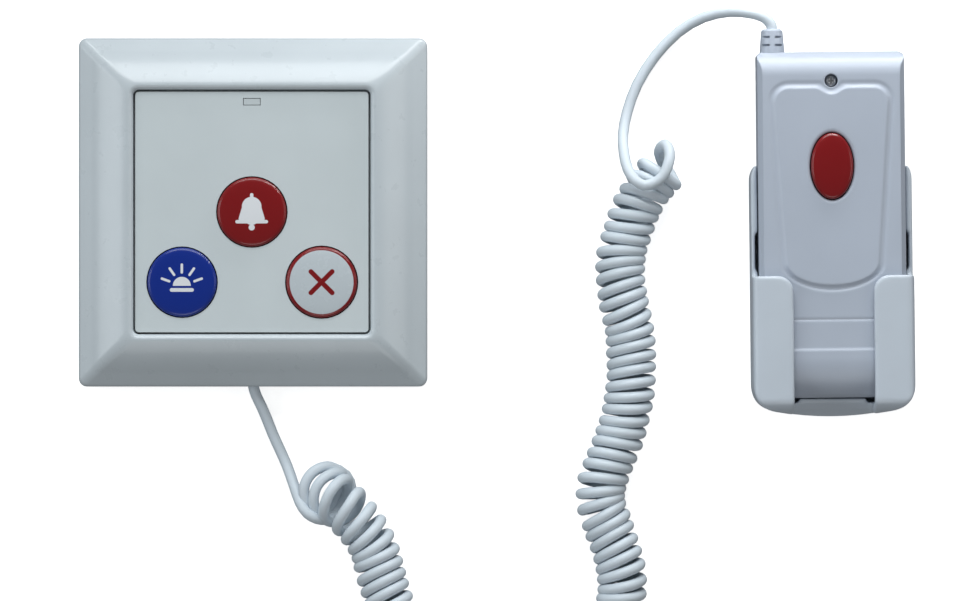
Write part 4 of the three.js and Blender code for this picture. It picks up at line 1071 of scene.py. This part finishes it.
def fillers():
    """What closes the gaps between the handset and the holder's wings and foot."""
    bm = bmesh.new()
    loft(bm, [[Vector((x, y, z)) for y, z in FOOT_LIP] for x in (-8.2, 8.2)])
    face, behind = HOLDER_WING_FACE, HOLDER_WING_FACE + 0.56
    for side in (-1, 1):
        for low, high in ((HOLDER_SLOT_TOP, 13), (-14, HOLDER_SLOT_FOOT)):
            box = ((face, low), (behind, low), (behind, high), (face, high))
            loft(bm, [[Vector((side * x, y, z)) for x, y in box] for z in (3, 11.6)])
    bmesh.ops.recalc_face_normals(bm, faces=bm.faces)
    bmesh.ops.scale(laid(bm), vec=(MM, MM, MM), verts=bm.verts)
    mesh = bpy.data.meshes.new("fillers")
    bm.to_mesh(mesh)
    bm.free()
    return mesh


def holder():
    """The holder's CAD shape, made a little fuller and softened like a moulding."""
    bm = bmesh.new()
    bm.from_mesh(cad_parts["handset_holder"].data)
    bmesh.ops.scale(bm, vec=(1 / MM, 1 / MM, 1 / MM), verts=bm.verts)
    bmesh.ops.remove_doubles(bm, verts=bm.verts, dist=0.001)
    piece = finished(
        "handset_cradle", bm, holder_white, SET, ["handset_holder"])
    carve(piece, [foot_wedge(), arm_corner(-1), arm_corner(1)])
    bm = bmesh.new()
    bm.from_mesh(piece.data)
    bm.from_mesh(fillers())
    bm.to_mesh(piece.data)
    bm.free()
    full = piece.modifiers.new("fuller", "DISPLACE")
    full.strength = HOLDER_FULLER * MM
    full.mid_level = 0
    voxels = piece.modifiers.new("even_mesh", "REMESH")
    voxels.mode = "VOXEL"
    voxels.voxel_size = HOLDER_MESH * MM
    voxels.use_smooth_shade = True
    soft = piece.modifiers.new("soft_edges", "SMOOTH")
    soft.factor = 0.5
    soft.iterations = 10
    depsgraph = bpy.context.evaluated_depsgraph_get()
    piece.data = bpy.data.meshes.new_from_object(piece.evaluated_get(depsgraph))
    piece.modifiers.clear()
    return piece


# The object

curly_cord()
outer_frame()
softened("face_panel", panel_white, 0.3)
softened("rear_cover", cover_white, 0.35)
round_button("call_cap", "call_button", CALL_PLACE, BUTTON_RADIUS, call_red)
round_button(
    "emergency_cap", "emergency_button", EMERGENCY_PLACE, BUTTON_RADIUS, emergency_blue)
round_button(
    "cancel_cap", "cancel_button", CANCEL_PLACE, CANCEL_RADIUS, cancel_white)
front_shell()
softened("handset_rear_shell", handset_white, 0.3)
oval_button()
cross_screw()
softened("handset_cord_boot", handset_white, 0.15)
holder()

CARRIED = {
    steel: ["rear_screw_1", "rear_screw_2", "rear_screw_3", "rear_screw_4", "oscillator",
            "battery_contact_positive", "battery_contact_negative", "battery_spring"],
    copper: ["aerial_coil"],
    board_green: ["circuit_board", "handset_board"],
    body_black: ["call_switch", "emergency_switch", "cancel_switch", "encoder_chip",
                 "handset_switch", "cord_bushing", "cord_clamp", "handset_cord_clamp"],
    sleeve_blue: ["battery"],
    milky: ["light_window"],
    lamp_red: ["indicator_lamp"],
}
for finish, names in CARRIED.items():
    for name in names:
        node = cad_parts[name]
        node.data.materials.clear()
        node.data.materials.append(finish)


# Floor, lights and camera

def floor_material():
    """Plain pale floor, lit enough to read as white."""
    material, canvas, place = start_material("floor")
    mottle = noise(canvas, place, 3, 2)
    return finish_material(
        material, canvas, base_color=mottle.mix((0.9, 0.9, 0.9, 1), (0.93, 0.93, 0.93, 1)),
        roughness=0.9, specular_ior_level=0.0, emission_color=(1, 1, 1, 1), emission_strength=0.7)


def floor():
    bm = bmesh.new()
    bmesh.ops.create_grid(bm, x_segments=8, y_segments=8, size=3)
    mesh = bpy.data.meshes.new("floor")
    bm.to_mesh(mesh)
    bm.free()
    mesh.materials.append(floor_material())
    ground = bpy.data.objects.new("floor", mesh)
    bpy.context.scene.collection.objects.link(ground)
    # Steep sides are dark in the photo, so the white floor sheds no light on them
    ground.visible_diffuse = False
    ground.visible_glossy = False


def softbox(name, place, size, power, colour=(1, 1, 1)):
    """An area light that faces the object."""
    data = bpy.data.lights.new(name, "AREA")
    data.shape = "RECTANGLE"
    data.size, data.size_y = size
    data.energy = power
    data.color = colour
    lamp = bpy.data.objects.new(name, data)
    bpy.context.scene.collection.objects.link(lamp)
    lamp.location = place
    aim = Vector((0.07, -0.02, 0)) - lamp.location
    lamp.rotation_euler = aim.to_track_quat("-Z", "Y").to_euler()


CAMERA_PLACE = (0.05827, -0.02175, 1.5)
CAMERA_LENS = 222.6

floor()
softbox("window_light", (0.0, 1.45, 1.0), (1.6, 0.9), 25.9, (0.95, 0.985, 1))
softbox("front_fill", (0.1, -1.3, 1.3), (1.2, 0.8), 5)
softbox("left_fill", (-1.3, 0.1, 0.8), (0.8, 0.8), 6.1, (0.92, 0.97, 1))
softbox("top_strip", (0.1426, 0.165, 0.035), (0.12, 0.02), 0.16)
softbox("right_fill", (1.45, 0.1, 1.0), (0.8, 0.8), 2.9, (1, 0.99, 0.96))

world = bpy.data.worlds.new("studio")
world.use_nodes = True
world.node_tree.nodes["Background"].inputs["Color"].default_value = (0.94, 0.98, 1, 1)
world.node_tree.nodes["Background"].inputs["Strength"].default_value = 0.15
bpy.context.scene.world = world

camera = bpy.data.objects.new("camera", bpy.data.cameras.new("camera"))
bpy.context.scene.collection.objects.link(camera)
camera.data.sensor_width = 36
camera.data.lens = CAMERA_LENS
camera.data.clip_start = 0.05
camera.location = CAMERA_PLACE
bpy.context.scene.camera = camera
bpy.context.scene.view_settings.view_transform = "Standard"
